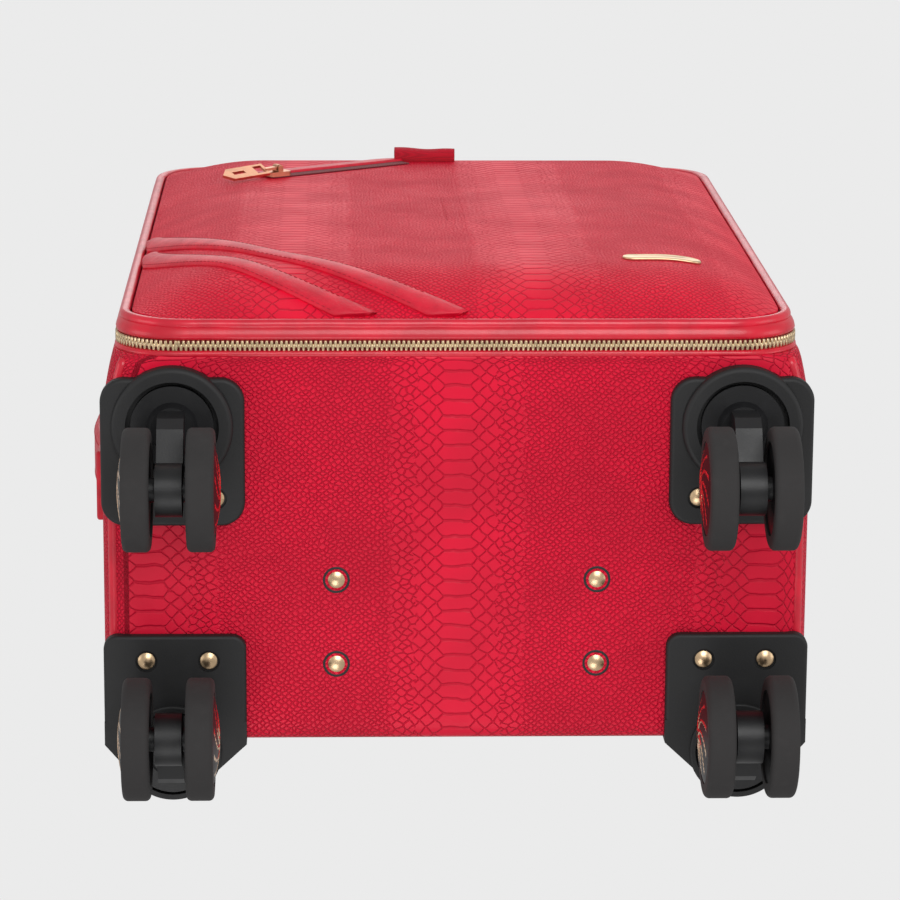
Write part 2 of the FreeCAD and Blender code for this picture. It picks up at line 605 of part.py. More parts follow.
def trolley():
    keep("trolley_outer_tubes", tube_pair("outer", TUBE_LOW_Z, CUP_FLOOR_Z - 2.1))
    keep("trolley_middle_tubes", tube_pair("middle", TUBE_LOW_Z + 2, CUP_FLOOR_Z - 1.0))
    inner = tube_pair("inner", TUBE_LOW_Z + 4, GRIP_TOP_Z - GRIP_T + 2)
    keep("trolley_inner_tubes", inner)
    feet = []
    for side in (-1, 1):
        x = TROLLEY_X + side * TUBE_SPACING / 2
        foot = box(x - 14, x + 14, 14.0, 99.0, BASE_Z + SKIN_T + BOARD_T + 0.1, TUBE_LOW_Z)
        step = box(x - 20, x + 20, 13.0, 79.0, FOOT_TOP_Z - 2, TUBE_LOW_Z + 1)
        holes = [upright(SHANK_R + 0.1, sx, sy, BASE_Z, SHANK_TOP_Z + 1) for sx, sy in FOOT_SCREWS]
        feet.append(foot.cut([step] + holes))
    keep("trolley_feet", feet)
    tray = cup_opening(0.0).common(box(-300, 300, -300, 300, 0, TOP_Z + 1.0))
    hollow = cup_opening(-2.0)
    lip = box(TROLLEY_X - CUP_HALF[0] - 3, TROLLEY_X + CUP_HALF[0] + 3, TUBE_Y - GRIP_BACK - CUP_HALF[1] - 3,
              TUBE_Y - GRIP_BACK + CUP_HALF[1] + 1.5, TOP_Z + 0.05, TOP_Z + 1.5)
    lip = lip.makeFillet(4.0, [e for e in lip.Edges if e.BoundBox.ZLength > 1.4])
    bores = [piece for piece in tube_pair("middle", CUP_FLOOR_Z - 5, CUP_FLOOR_Z + 5, False)]
    wider = [box(b.BoundBox.XMin - 0.3, b.BoundBox.XMax + 0.3, b.BoundBox.YMin - 0.3, b.BoundBox.YMax + 0.3,
                 b.BoundBox.ZMin, b.BoundBox.ZMax) for b in bores]
    keep("trolley_cup", fuse([tray, lip]).cut([hollow] + wider))
    grip()


def grip():
    half_x = TUBE_SPACING / 2 + 13.0
    low = GRIP_TOP_Z - GRIP_T
    y_mid = TUBE_Y - GRIP_BACK
    bar = box(TROLLEY_X - half_x, TROLLEY_X + half_x, y_mid - GRIP_DEPTH_Y / 2, y_mid + GRIP_DEPTH_Y / 2,
              low, GRIP_TOP_Z)
    bar = bar.makeFillet(6.0, [e for e in bar.Edges if e.BoundBox.ZLength > 14])
    bar = bar.makeFillet(3.0, [e for e in bar.Edges if e.BoundBox.ZLength < 0.01])
    sockets = []
    size_x, size_y, _ = TUBES["inner"]
    for side in (-1, 1):
        x = TROLLEY_X + side * TUBE_SPACING / 2
        sockets.append(box(x - size_x / 2, x + size_x / 2, TUBE_Y - size_y / 2, TUBE_Y + size_y / 2,
                           low - 1, low + 2.0))
    well = box(TROLLEY_X - 16.4, TROLLEY_X + 16.4, y_mid - 6.4, y_mid + 6.4, GRIP_TOP_Z - 7, GRIP_TOP_Z + 1)
    keep("trolley_grip", bar.cut(sockets + [well]))
    button = box(TROLLEY_X - 16, TROLLEY_X + 16, y_mid - 6, y_mid + 6, GRIP_TOP_Z - 3.4, GRIP_TOP_Z + 2.0)
    button = button.makeFillet(4.0, [e for e in button.Edges if e.BoundBox.ZLength > 5])
    keep("trolley_button", button.makeFillet(1.0, [e for e in button.Edges if e.BoundBox.ZMin > GRIP_TOP_Z + 1.9]))


# ---- carry handles -------------------------------------------------------------------------
BRACKET_REACH = 14.0
BRACKET_H = 12.5
BRACKET_T = 2.6


def strap():
    """Padded strap arched along u, standing HANDLE_RISE off the face it is fixed to."""
    half = HANDLE_SPAN / 2
    outer = Part.Arc(V(-half, 0, 3.2), V(0, 0, HANDLE_RISE), V(half, 0, 3.2)).toShape()
    inner = Part.Arc(V(-half, 0, 0.6), V(0, 0, HANDLE_RISE - HANDLE_T), V(half, 0, 0.6)).toShape()
    ends = [Part.makeLine(V(s * half, 0, 3.2), V(s * half, 0, 0.6)) for s in (-1, 1)]
    face = Part.Face(Part.Wire(Part.__sortEdges__([outer, inner] + ends)))
    face.translate(V(0, -STRAP_W / 2, 0))
    return face.extrude(V(0, STRAP_W, 0))


def bracket(side):
    """End cap that holds one end of a strap: a low U standing over it."""
    u0, u1 = sorted((side * (HANDLE_SPAN / 2 - 6.0), side * (HANDLE_SPAN / 2 + BRACKET_REACH)))
    cap = box(u0, u1, -STRAP_W / 2 - 4.0, STRAP_W / 2 + 4.0, 0.1, BRACKET_H)
    cap = cap.makeFillet(3.0, [e for e in cap.Edges if e.BoundBox.ZLength > 8])
    cap = cap.makeFillet(1.5, [e for e in cap.Edges if e.BoundBox.ZMin > BRACKET_H - 0.1])
    s0, s1 = sorted((side * (HANDLE_SPAN / 2 - 12.0), side * (HANDLE_SPAN / 2 + 2.5)))
    return cap.cut(box(s0, s1, -STRAP_W / 2 - 0.6, STRAP_W / 2 + 0.6, -1.0, BRACKET_H - BRACKET_T))


def carry_handles():
    side_u, side_n, side_o = V(0, 0, 1), V(-1, 0, 0), V(-HALF_W, HANDLE_Y, MID_Z)
    top_u, top_n, top_o = V(1, 0, 0), V(0, 0, 1), V(0, HANDLE_Y, TOP_Z)
    keep("side_handle", placed(strap(), side_o, side_u, side_n))
    keep("top_handle", placed(strap(), top_o, top_u, top_n))
    brackets = [placed(bracket(s), side_o, side_u, side_n) for s in (-1, 1)]
    brackets += [placed(bracket(s), top_o, top_u, top_n) for s in (-1, 1)]
    keep("handle_brackets", brackets)


# ---- build everything and write it out -----------------------------------------------------
def build():
    keep("body_board", body_board())
    body_covers()
    keep("body_lining", body_lining())
    case_front()
    lid()
    sliders()
    casters()
    screws()
    trolley()
    carry_handles()


def write():
    os.makedirs("parts", exist_ok=True)
    for name, shape in NODES.items():
        shape.exportStep(f"parts/{name}.step")
        print(f"{name:24s} solids {len(shape.Solids):2d} valid {shape.isValid()} "
              f"volume {shape.Volume / 1000:9.2f} cm3")
    print(len(NODES), "nodes")


build()
write()
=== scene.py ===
"""Looks of the cabin suitcase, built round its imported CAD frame. Lengths are millimetres until at() or ring
points are turned into metres; x and y are measured from the middle of the case, z from the floor."""

import math

import bmesh
import bpy
import numpy as np
from mathutils import Matrix, Vector


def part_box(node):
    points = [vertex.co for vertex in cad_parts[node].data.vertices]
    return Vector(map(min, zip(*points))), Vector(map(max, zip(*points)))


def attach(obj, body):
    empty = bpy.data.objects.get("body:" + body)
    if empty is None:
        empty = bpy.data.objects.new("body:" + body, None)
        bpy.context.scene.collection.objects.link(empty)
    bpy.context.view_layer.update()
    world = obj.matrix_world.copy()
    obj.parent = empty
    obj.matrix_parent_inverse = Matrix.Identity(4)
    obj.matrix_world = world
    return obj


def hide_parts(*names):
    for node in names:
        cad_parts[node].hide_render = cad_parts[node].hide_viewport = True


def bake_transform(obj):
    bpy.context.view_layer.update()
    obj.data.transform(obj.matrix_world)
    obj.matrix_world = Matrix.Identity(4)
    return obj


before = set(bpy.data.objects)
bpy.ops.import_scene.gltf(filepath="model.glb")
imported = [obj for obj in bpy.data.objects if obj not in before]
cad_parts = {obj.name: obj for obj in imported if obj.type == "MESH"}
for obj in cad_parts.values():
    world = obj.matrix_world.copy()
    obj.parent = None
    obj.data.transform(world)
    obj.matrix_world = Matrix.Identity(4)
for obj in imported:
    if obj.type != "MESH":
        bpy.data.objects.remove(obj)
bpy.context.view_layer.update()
MM = 0.001

# ---- the case's own sizes, read from the frame ------------------------------------------------
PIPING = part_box("lid_piping")
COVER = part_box("side_and_top_cover")
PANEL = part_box("front_panel")
PIPE_R = (PIPING[1].y - PIPING[0].y) / 2 / MM
AXIS_X = (PIPING[0].x + PIPING[1].x) / 2
PIPE_HALF_W = (PIPING[1].x - PIPING[0].x) / 2 / MM - PIPE_R
PIPE_LOW, PIPE_HIGH = PIPING[0].z / MM + PIPE_R, PIPING[1].z / MM - PIPE_R
HALF_W = (COVER[1].x - COVER[0].x) / 2 / MM
BASE_Z, TOP_Z = COVER[0].z / MM, COVER[1].z / MM
CASE_DEPTH = 212.0                      # from the piping plane to the back
MID_Y = (PIPING[0].y + PIPING[1].y) / 2 + CASE_DEPTH / 2 * MM
PIPING_Y, BACK_Y, ZIP_Y = -CASE_DEPTH / 2, CASE_DEPTH / 2, -96.0
ZIP_HALF_W, ZIP_CORNER = 168.3, 30.0
PANEL_HALF_W = (PANEL[1].x - PANEL[0].x) / 2 / MM
PANEL_LOW, PANEL_HIGH = PANEL[0].z / MM, PANEL[1].z / MM
PANEL_CORNER = 29.0
DOME_RUN = 62.0                         # distance from the lid's edge at which the pocket is flat
TAPE_PITCH = 2.4                        # tooth pitch of the main zip


def at(x, y, z):
    return Vector((AXIS_X + x * MM, MID_Y + y * MM, z * MM))


def to_frame(points):
    """Case millimetres to frame metres, for an array of points."""
    return np.asarray(points, float) * MM + np.array([AXIS_X, MID_Y, 0.0])


def local(corner):
    """A frame point in case millimetres."""
    return np.array([(corner.x - AXIS_X) / MM, (corner.y - MID_Y) / MM, corner.z / MM])


def smooth(t):
    t = np.clip(t, 0.0, 1.0)
    return t * t * (3 - 2 * t)


# ---- materials --------------------------------------------------------------------------------
class Graph:
    """Wires one material. Numbers go on sockets and sockets are linked."""

    def __init__(self, name):
        self.material = bpy.data.materials.new(name)
        self.material.use_nodes = True
        self.tree = self.material.node_tree
        self.tree.nodes.clear()
        self.output = self.add("ShaderNodeOutputMaterial")

    def add(self, kind, settings=None, **inputs):
        made = self.tree.nodes.new(kind)
        for key, value in (settings or {}).items():
            setattr(made, key, value)
        for key, value in inputs.items():
            self.put(made.inputs[key.replace("_", " ")], value)
        return made

    def put(self, socket, value):
        if isinstance(value, bpy.types.NodeSocket):
            self.tree.links.new(value, socket)
        else:
            socket.default_value = value

    def math(self, operation, *values):
        made = self.add("ShaderNodeMath", {"operation": operation})
        for socket, value in zip(made.inputs, values):
            self.put(socket, value)
        return made.outputs[0]

    def vector(self, operation, *values):
        made = self.add("ShaderNodeVectorMath", {"operation": operation})
        for socket, value in zip(made.inputs, values):
            self.put(socket, value)
        return made.outputs[0]

    def ramp(self, value, low, high, out_low=0.0, out_high=1.0):
        made = self.add("ShaderNodeMapRange", {"interpolation_type": "SMOOTHSTEP"}, Value=value, From_Min=low,
                        From_Max=high, To_Min=out_low, To_Max=out_high)
        return made.outputs[0]

    def mix(self, factor, a, b):
        """Colours mixed by factor."""
        made = self.add("ShaderNodeMix", {"data_type": "RGBA"})
        for socket, value in zip((made.inputs[0], made.inputs[6], made.inputs[7]), (factor, a, b)):
            self.put(socket, value)
        return made.outputs[2]

    def blend(self, factor, a, b):
        """Numbers mixed by factor."""
        made = self.add("ShaderNodeMix")
        for socket, value in zip((made.inputs[0], made.inputs[2], made.inputs[3]), (factor, a, b)):
            self.put(socket, value)
        return made.outputs[0]

    def place(self):
        """Position in the frame at rest, in millimetres."""
        coordinate = self.add("ShaderNodeTexCoord").outputs["Object"]
        return self.vector("MULTIPLY", coordinate, (1 / MM, 1 / MM, 1 / MM))

    def grain(self):
        """Position on the piece's own unrolled surface, in millimetres."""
        return self.add("ShaderNodeUVMap", {"uv_map": "grain"}).outputs[0]

    def noise(self, vector, size, detail=3.0, rough=0.5):
        """Noise from 0 to 1 whose features are about size millimetres."""
        return self.add("ShaderNodeTexNoise", Vector=vector, Scale=1 / size, Detail=detail,
                        Roughness=rough).outputs[0]

    def finish(self, colour, roughness, height=None, depth=0.1, **fixed):
        """Principled shader; depth is the bump's depth in millimetres."""
        shader = self.add("ShaderNodeBsdfPrincipled", Base_Color=colour, Roughness=roughness)
        for key, value in fixed.items():
            shader.inputs[key.replace("_", " ")].default_value = value
        if height is not None:
            bump = self.add("ShaderNodeBump", Height=height, Distance=depth * MM, Strength=1.0)
            self.put(shader.inputs["Normal"], bump.outputs[0])
        self.put(self.output.inputs[0], shader.outputs[0])
        return self.material


def rgb(r, g, b):
    """Colour given in the 0 to 255 of a screen, as linear light."""
    def linear(value):
        value /= 255
        return value / 12.92 if value <= 0.04045 else ((value + 0.055) / 1.055) ** 2.4
    return (linear(r), linear(g), linear(b), 1.0)


def dimmed(colour, share):
    """The colour at a share of its brightness."""
    return tuple(share * c for c in colour[:3]) + (1.0,)


ROW = 7.7                               # pitch of the broad scales
BROAD_HALF = 6.0                        # half the flat part of a broad scale
BROAD_W, MIDDLE_W, FINE_W = 7.2, 5.2, 3.5       # widths of the three sizes
BROAD_EDGE, MIDDLE_EDGE = (23.0, 24.0), (33.0, 36.0)    # where broad and middling scales end
WANDER = 3.6                            # how far the rows of scales stray in all
SCALE_DEPTH = 0.55


def snakeskin(name, first, period, light, dark, rough=0.4):
    """Embossed snakeskin: columns of broad scales every period, shrinking to fine diamonds between them."""
    g = Graph(name)
    plane = g.grain()
    split = g.add("ShaderNodeSeparateXYZ", Vector=plane)
    drift = g.add("ShaderNodeTexNoise", Vector=plane, Scale=1 / 9.0, Detail=2.0).outputs[1]
    shift = g.add("ShaderNodeSeparateXYZ", Vector=g.vector("SUBTRACT", drift, (0.5, 0.5, 0.5)))
    u = g.math("MULTIPLY_ADD", shift.outputs[0], WANDER, split.outputs[0])
    v = g.math("MULTIPLY_ADD", shift.outputs[1], WANDER, split.outputs[1])
    across = g.math("PINGPONG", g.math("SUBTRACT", u, first), period / 2)

    def lattice(column, row, low, high):
        """Height of six-sided cells; column and row count cells."""
        rise = g.math("PINGPONG", g.math("ADD", column, row), 0.5)
        fall = g.math("PINGPONG", g.math("SUBTRACT", column, row), 0.5)
        return g.ramp(g.math("SMOOTH_MIN", rise, fall, 0.16), low, high)

    def cells(column, row, low, high):
        """Height of uneven rounded diamonds."""
        where = g.add("ShaderNodeCombineXYZ", X=g.math("ADD", column, row), Y=g.math("SUBTRACT", column, row))
        edge = g.add("ShaderNodeTexVoronoi", {"voronoi_dimensions": "2D", "feature": "DISTANCE_TO_EDGE"},
                     Vector=where.outputs[0], Scale=1.0, Randomness=0.45).outputs[0]
        return g.ramp(edge, low, high)

    row = g.math("DIVIDE", v, ROW)
    broad_column = g.math("DIVIDE", g.math("MAXIMUM", g.math("SUBTRACT", across, BROAD_HALF), 0.0), BROAD_W)
    broad = lattice(broad_column, row, -0.01, 0.1)
    middle = cells(g.math("DIVIDE", across, MIDDLE_W), g.math("MULTIPLY", row, 1.6), 0.0, 0.14)
    fine = cells(g.math("DIVIDE", across, FINE_W), g.math("MULTIPLY", row, 2.5), 0.0, 0.24)
    edge = g.math("MULTIPLY_ADD", g.noise(plane, 14.0), 9.0, across)
    height = g.blend(g.ramp(edge, *BROAD_EDGE), broad, middle)
    height = g.blend(g.ramp(edge, *MIDDLE_EDGE), height, fine)
    patches = g.noise(plane, 45.0, 2.0)
    pores = g.noise(plane, 0.9, 2.0)
    tone = g.mix(g.ramp(patches, 0.3, 0.7), light, dimmed(light, 0.82))
    colour = g.mix(height, dark, tone)
    shine = g.math("MULTIPLY_ADD", g.math("SUBTRACT", 1.0, height), 0.22, rough)
    shine = g.math("MULTIPLY_ADD", g.math("SUBTRACT", patches, 0.5), 0.25, shine)
    relief = g.math("MULTIPLY_ADD", pores, 0.12, height)
    return g.finish(colour, shine, relief, SCALE_DEPTH, Specular_IOR_Level=0.28)


def patent(name, colour, rough):
    g = Graph(name)
    where = g.place()
    soft = g.noise(where, 16.0, 3.0)
    creases = g.noise(where, 2.2, 4.0, 0.6)
    tone = g.mix(g.ramp(soft, 0.35, 0.65), colour, dimmed(colour, 0.8))
    relief = g.math("MULTIPLY_ADD", creases, 0.35, soft)
    return g.finish(tone, g.math("MULTIPLY_ADD", soft, 0.16, rough), relief, 0.3, Coat_Weight=0.3,
                    Coat_Roughness=0.18)


def leather(name, colour, rough=0.42):
    """Smooth leatherette with a fine pebble."""
    g = Graph(name)
    where = g.place()
    pebble = g.add("ShaderNodeTexVoronoi", {"feature": "DISTANCE_TO_EDGE"}, Vector=where,
                   Scale=1 / 0.8).outputs[0]
    soft = g.noise(where, 9.0)
    tone = g.mix(g.ramp(soft, 0.3, 0.7), colour, dimmed(colour, 0.8))
    relief = g.math("MULTIPLY_ADD", soft, 0.8, g.ramp(pebble, 0.0, 0.25))
    return g.finish(tone, g.math("MULTIPLY_ADD", soft, 0.15, rough - 0.08), relief, 0.06)


def woven(name, colour, pitch, sheen=0.2):
    """Plain weave, with threads every pitch millimetres."""
    g = Graph(name)
    where = g.place()
    split = g.add("ShaderNodeSeparateXYZ", Vector=where)
    waves = [g.math("SINE", g.math("MULTIPLY", split.outputs[i], 2 * math.pi / pitch)) for i in range(3)]
    weave = g.math("ADD", g.math("ADD", waves[0], waves[1]), waves[2])
    fuzz = g.noise(where, 12.0, 5.0)
    tone = g.mix(g.ramp(weave, -1.5, 1.5), dimmed(colour, 0.6), colour)
    tone = g.mix(g.math("MULTIPLY", fuzz, 0.4), tone, dimmed(colour, 0.5))
    return g.finish(tone, g.math("MULTIPLY_ADD", fuzz, 0.15, 0.75), weave, 0.08, Sheen_Weight=sheen)


def metal(name, colour, rough, streak=(1.0, 1.0, 1.0)):
    """Polished or brushed metal; streak stretches the fine scratches."""
    g = Graph(name)
    where = g.place()
    scratches = g.noise(g.vector("MULTIPLY", where, streak), 0.6, 4.0, 0.6)
    bloom = g.noise(where, 7.0)
    tone = g.mix(g.ramp(bloom, 0.35, 0.75), colour, dimmed(colour, 0.75))
    shine = g.math("MULTIPLY_ADD", scratches, 0.18, rough)
    return g.finish(tone, shine, scratches, 0.015, Metallic=1.0)


def plastic(name, colour, rough, grain=0.9, depth=0.05):
    g = Graph(name)
    where = g.place()
    texture = g.noise(where, grain, 2.0)
    scuffs = g.noise(where, 11.0, 5.0, 0.65)
    tone = g.mix(g.ramp(scuffs, 0.45, 0.8), colour, dimmed(colour, 1.35))
    return g.finish(tone, g.math("MULTIPLY_ADD", scuffs, 0.2, rough - 0.1), texture, depth)


def relief_metal(name, high, low):
    """Metallised cap with painted light: its raised parts carry a painted cream highlight, and the sunken
    parts between its vanes are darker, as painted shade.
    """
    g = Graph(name)
    rise = g.add("ShaderNodeAttribute", {"attribute_name": "rise"}).outputs["Fac"]
    bloom = g.noise(g.place(), 3.5, 3.0)
    level = g.math("MULTIPLY_ADD", g.math("SUBTRACT", bloom, 0.5), 0.5, rise)
    tone = g.mix(g.ramp(level, 0.15, 0.8), low, high)
    return g.finish(tone, g.ramp(bloom, 0.2, 0.8, 0.1, 0.26), bloom, 0.05, Metallic=1.0)


SKIN_BODY = snakeskin("skin_body", 0.0, 138.0, rgb(228, 4, 52), rgb(202, 3, 45))
# The front panel's colours are set lighter than the body's same skin: painted sheen of its grazing face.
SKIN_FRONT = snakeskin("skin_front", -82.0, 123.0, rgb(246, 3, 54), rgb(216, 3, 48), rough=0.55)
PATENT = patent("patent", rgb(216, 3, 42), 0.3)
PIPING_RED = patent("piping_patent", rgb(222, 5, 46), 0.28)
BAND_RED = leather("band_leather", rgb(230, 6, 50), 0.42)
HANDLE_RED = leather("handle_leather", rgb(214, 8, 46))
THREAD = leather("thread", rgb(190, 6, 40), 0.6)
# The zip tape is coloured far darker than the body's red: painted shade between the teeth.
TAPE = woven("zip_tape", rgb(140, 8, 28), 0.7)
SATIN = woven("tab_satin", rgb(240, 4, 52), 0.5, 0.1)
LINING = woven("lining", rgb(66, 64, 70), 0.9)
GOLD = metal("gold", rgb(232, 200, 160), 0.24)
TEETH = metal("teeth", rgb(222, 196, 158), 0.26)
BOARD = plastic("board", rgb(72, 70, 74), 0.6, 1.2)
HOUSING = plastic("housing", rgb(20, 20, 21), 0.6)
FORK = plastic("fork_plastic", rgb(16, 16, 18), 0.45)
TYRE = plastic("tyre", rgb(42, 40, 40), 0.85, 0.6, 0.07)
GRIP = plastic("grip_plastic", rgb(44, 44, 47), 0.45, 0.7, 0.08)
TUBE = metal("tube_aluminium", rgb(120, 120, 126), 0.26, (4.0, 4.0, 0.08))
ROSE = metal("rose_gold", rgb(230, 172, 138), 0.3)
# cap colours: a painted cream highlight, and a darker rose gold as painted shade in the hollows
CAP = relief_metal("cap_metal", rgb(255, 214, 176), rgb(226, 130, 84))
RUBBER = plastic("washer_rubber", rgb(26, 22, 24), 0.6)


# ---- mesh helpers -----------------------------------------------------------------------------
def new_object(name, data):
    made = bpy.data.objects.new(name, data)
    bpy.context.scene.collection.objects.link(made)
    return made


def piece(name, points, faces, material, body, grain=None, replaces=(), slot=None, shell=0.0):
    """A mesh piece in case millimetres, riding on a body. grain gives each vertex its place on the unrolled
    surface; shell gives an open surface that thickness, inwards."""
    mesh = bpy.data.meshes.new(name)
    mesh.from_pydata(to_frame(points).tolist(), [], [tuple(int(i) for i in f) for f in faces])
    if grain is not None:
        layer = mesh.uv_layers.new(name="grain")
        corner = np.zeros(len(mesh.loops), np.int32)
        mesh.loops.foreach_get("vertex_index", corner)
        layer.data.foreach_set("uv", np.asarray(grain, np.float32)[corner].ravel())
    mesh.polygons.foreach_set("use_smooth", [True] * len(mesh.polygons))
    mesh.materials.append(material)
    made = new_object(name, mesh)
    if shell:
        solid = made.modifiers.new("thickness", "SOLIDIFY")
        solid.thickness, solid.offset = shell * MM, -1.0
    if body:
        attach(made, body)
    if replaces:
        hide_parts(*replaces)
    return made


def grid_faces(rows, columns, wrap=False):
    """Quads of a grid of rows by columns points; wrap joins the last column to the first."""
    faces = []
    last = columns if wrap else columns - 1
    for r in range(rows - 1):
        for c in range(last):
            d = (c + 1) % columns
            faces.append((r * columns + c, r * columns + d, (r + 1) * columns + d, (r + 1) * columns + c))
    return faces


def upright(points, y):
    """(x, z) points stood up at y, which may differ from point to point."""
    return np.column_stack([points[:, 0], np.broadcast_to(y, len(points)), points[:, 1]])


def end_faces(rows, columns):
    """The faces that close a wrapped grid at both ends."""
    return [tuple(range(columns))[::-1], tuple(range((rows - 1) * columns, rows * columns))]


def ring(half_w, low, high, corner, across=64, up=88, arc=8):
    """Rounded rectangle in the X-Z plane, from the left end of its bottom line round by the right:
    points, outward normals and distance along, which is 0 at the bottom's middle."""
    points, normals = [], []
    middle = [(half_w - corner, low + corner, -90), (half_w - corner, high - corner, 0),
              (corner - half_w, high - corner, 90), (corner - half_w, low + corner, 180)]
    counts = [across, up, across, up]
    start = np.array([corner - half_w, low])
    for (cx, cz, angle), count in zip(middle, counts):
        a = math.radians(angle)
        out = np.array([math.cos(a), math.sin(a)])
        end = np.array([cx, cz]) + corner * out
        for i in range(count):
            points.append(start + (end - start) * i / count)
            normals.append(out)
        for i in range(arc):
            b = a + math.pi / 2 * i / arc
            out = np.array([math.cos(b), math.sin(b)])
            points.append(np.array([cx, cz]) + corner * out)
            normals.append(out)
        start = np.array([cx, cz]) + corner * np.array([math.cos(a + math.pi / 2), math.sin(a + math.pi / 2)])
    points, normals = np.array(points), np.array(normals)
    steps = np.linalg.norm(np.roll(points, -1, 0) - points, axis=1)
    along = np.concatenate([[0], np.cumsum(steps)[:-1]]) - (half_w - corner)
    return points, normals, along


def loft(name, sections, material, body, **kwargs):
    """Skin through rings; each section is (y, ring points). The grain is the distance round the first
    section and the distance along the skin."""
    columns = len(sections[0][1])
    first = sections[0][1]
    steps = np.linalg.norm(np.roll(first, -1, 0) - first, axis=1)
    along = np.concatenate([[0], np.cumsum(steps)])[:-1] - abs(first[0][0])
    rows, grain, reach, before = [], [], 0.0, None
    for y, points in sections:
        row = upright(points, y)
        if before is not None:
            reach += np.linalg.norm(row[0] - before[0])
        before = row
        rows.append(row)
        grain.append(np.column_stack([along, np.full(columns, reach + sections[0][0])]))
    return piece(name, np.concatenate(rows), grid_faces(len(rows), columns, True), material, body,
                 grain=np.concatenate(grain), **kwargs)


def tube(name, path, radius, material, body, sides=12, closed=False, **kwargs):
    """Round tube along a path of points. A radius may be a list, one for each point."""
    path = np.asarray(path, float)
    count = len(path)
    radii = np.broadcast_to(np.asarray(radius, float), (count,))
    ahead = np.roll(path, -1, 0) - np.roll(path, 1, 0)
    if not closed:
        ahead[0], ahead[-1] = path[1] - path[0], path[-1] - path[-2]
    ahead /= np.linalg.norm(ahead, axis=1)[:, None]
    side = np.cross(ahead, np.array([0.0, 1.0, 0.0]))
    weak = np.linalg.norm(side, axis=1) < 0.2
    side[weak] = np.cross(ahead[weak], np.array([0.0, 0.0, 1.0]))
    side /= np.linalg.norm(side, axis=1)[:, None]
    other = np.cross(ahead, side)
    angle = np.arange(sides) * 2 * math.pi / sides
    rows = (path[:, None, :] + radii[:, None, None] * (np.cos(angle)[None, :, None] * side[:, None, :]
                                                       + np.sin(angle)[None, :, None] * other[:, None, :]))
    points = rows.reshape(-1, 3)
    faces = grid_faces(count, sides, True)
    if closed:
        last = (count - 1) * sides
        faces += [(last + i, last + (i + 1) % sides, (i + 1) % sides, i) for i in range(sides)]
    else:
        faces += end_faces(count, sides)
    return piece(name, points, faces, material, body, **kwargs)


def repeat(name, form, places, material, body, **kwargs):
    """Many copies of a small form as one mesh. form is (points, faces); a place is (origin, x, y, z axes)."""
    shape, faces = np.asarray(form[0], float), form[1]
    points, all_faces = [], []
    for i, (origin, x, y, z) in enumerate(places):
        points.append(np.asarray(origin) + shape @ np.array([x, y, z]))
        all_faces += [tuple(v + i * len(shape) for v in f) for f in faces]
    return piece(name, np.concatenate(points), all_faces, material, body, **kwargs)


def block(x, y, z, taper):
    """Small block standing on z = 0, narrowed to taper at its top, with a shoulder for a soft edge."""
    levels = [(0.0, 1.0), (0.62 * z, 1.0), (0.9 * z, 0.5 + taper / 2), (z, taper)]
    corners = ((-1, -1), (1, -1), (1, 1), (-1, 1))
    points = [(sx * x / 2 * k, sy * y / 2 * k, h) for h, k in levels for sx, sy in corners]
    return points, grid_faces(len(levels), 4, True) + end_faces(len(levels), 4)


def stitch(length, radius):
    """One stitch along x: a short thread sunk at both ends."""
    rows = [(-0.5, 0.25, -0.6), (-0.36, 0.9, 0.1), (0.0, 1.0, 0.35), (0.36, 0.9, 0.1), (0.5, 0.25, -0.6)]
    points = [(t * length, k * radius * math.cos(a), k * radius * math.sin(a) + rise * radius)
              for t, k, rise in rows for a in np.arange(6) * math.pi / 3]
    return points, grid_faces(len(rows), 6, True) + end_faces(len(rows), 6)


def stitch_line(name, path, normals, body, pitch=3.6, radius=0.32):
    """Stitches along a path on a surface with the given outward normals."""
    path, normals = np.asarray(path, float), np.asarray(normals, float)
    lengths = np.concatenate([[0], np.cumsum(np.linalg.norm(np.diff(path, axis=0), axis=1))])
    places = []
    for s in np.arange(pitch / 2, lengths[-1], pitch):
        here, ahead = [np.array([np.interp(q, lengths, path[:, k]) for k in range(3)]) for q in (s, s + 0.4)]
        up = np.array([np.interp(s, lengths, normals[:, k]) for k in range(3)])
        x = ahead - here
        if np.linalg.norm(x) < 1e-6:
            continue
        x /= np.linalg.norm(x)
        up = up - (up @ x) * x
        up /= np.linalg.norm(up)
        places.append((here, x, np.cross(up, x), up))
    repeat(name, stitch(pitch * 0.72, radius), places, THREAD, body, slot="smooth_leather")


# ---- body ------------------------------------------------------------------------------------
def half_width(y):
    """The body's half width: it draws in towards the zip and, less, towards the back."""
    front = np.clip((-45.0 - y) / 42.0, 0, None)
    back = np.clip((y - 60.0) / 41.0, 0, 1.2)
    return HALF_W - 5.0 * front ** 2 - 2.5 * back ** 2


def corner_radius(y):
    return float(np.interp(y, [-92, -88, -70], [28, 15, 12]))


def body_ring(y, inset=0.0, corner=None):
    r = corner_radius(y) if corner is None else corner
    return ring(half_width(y) - inset, BASE_Z + inset, TOP_Z - inset, max(r - inset, 3.0))[0]


ROUND_Y = 97.0                          # behind this the body rounds off into its back
ROUND_LENGTH, ROUND_DROP = 8.82, 6.0    # how far the rounding runs back and draws in
BACK_RIM = 5.0                          # the back cover's edge lies this far inside the body's
CORNER_SAG = 1 - math.sqrt(0.5)          # how far a rounded corner's middle lies inside, per radius
CUP = [local(c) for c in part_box("trolley_cup")]


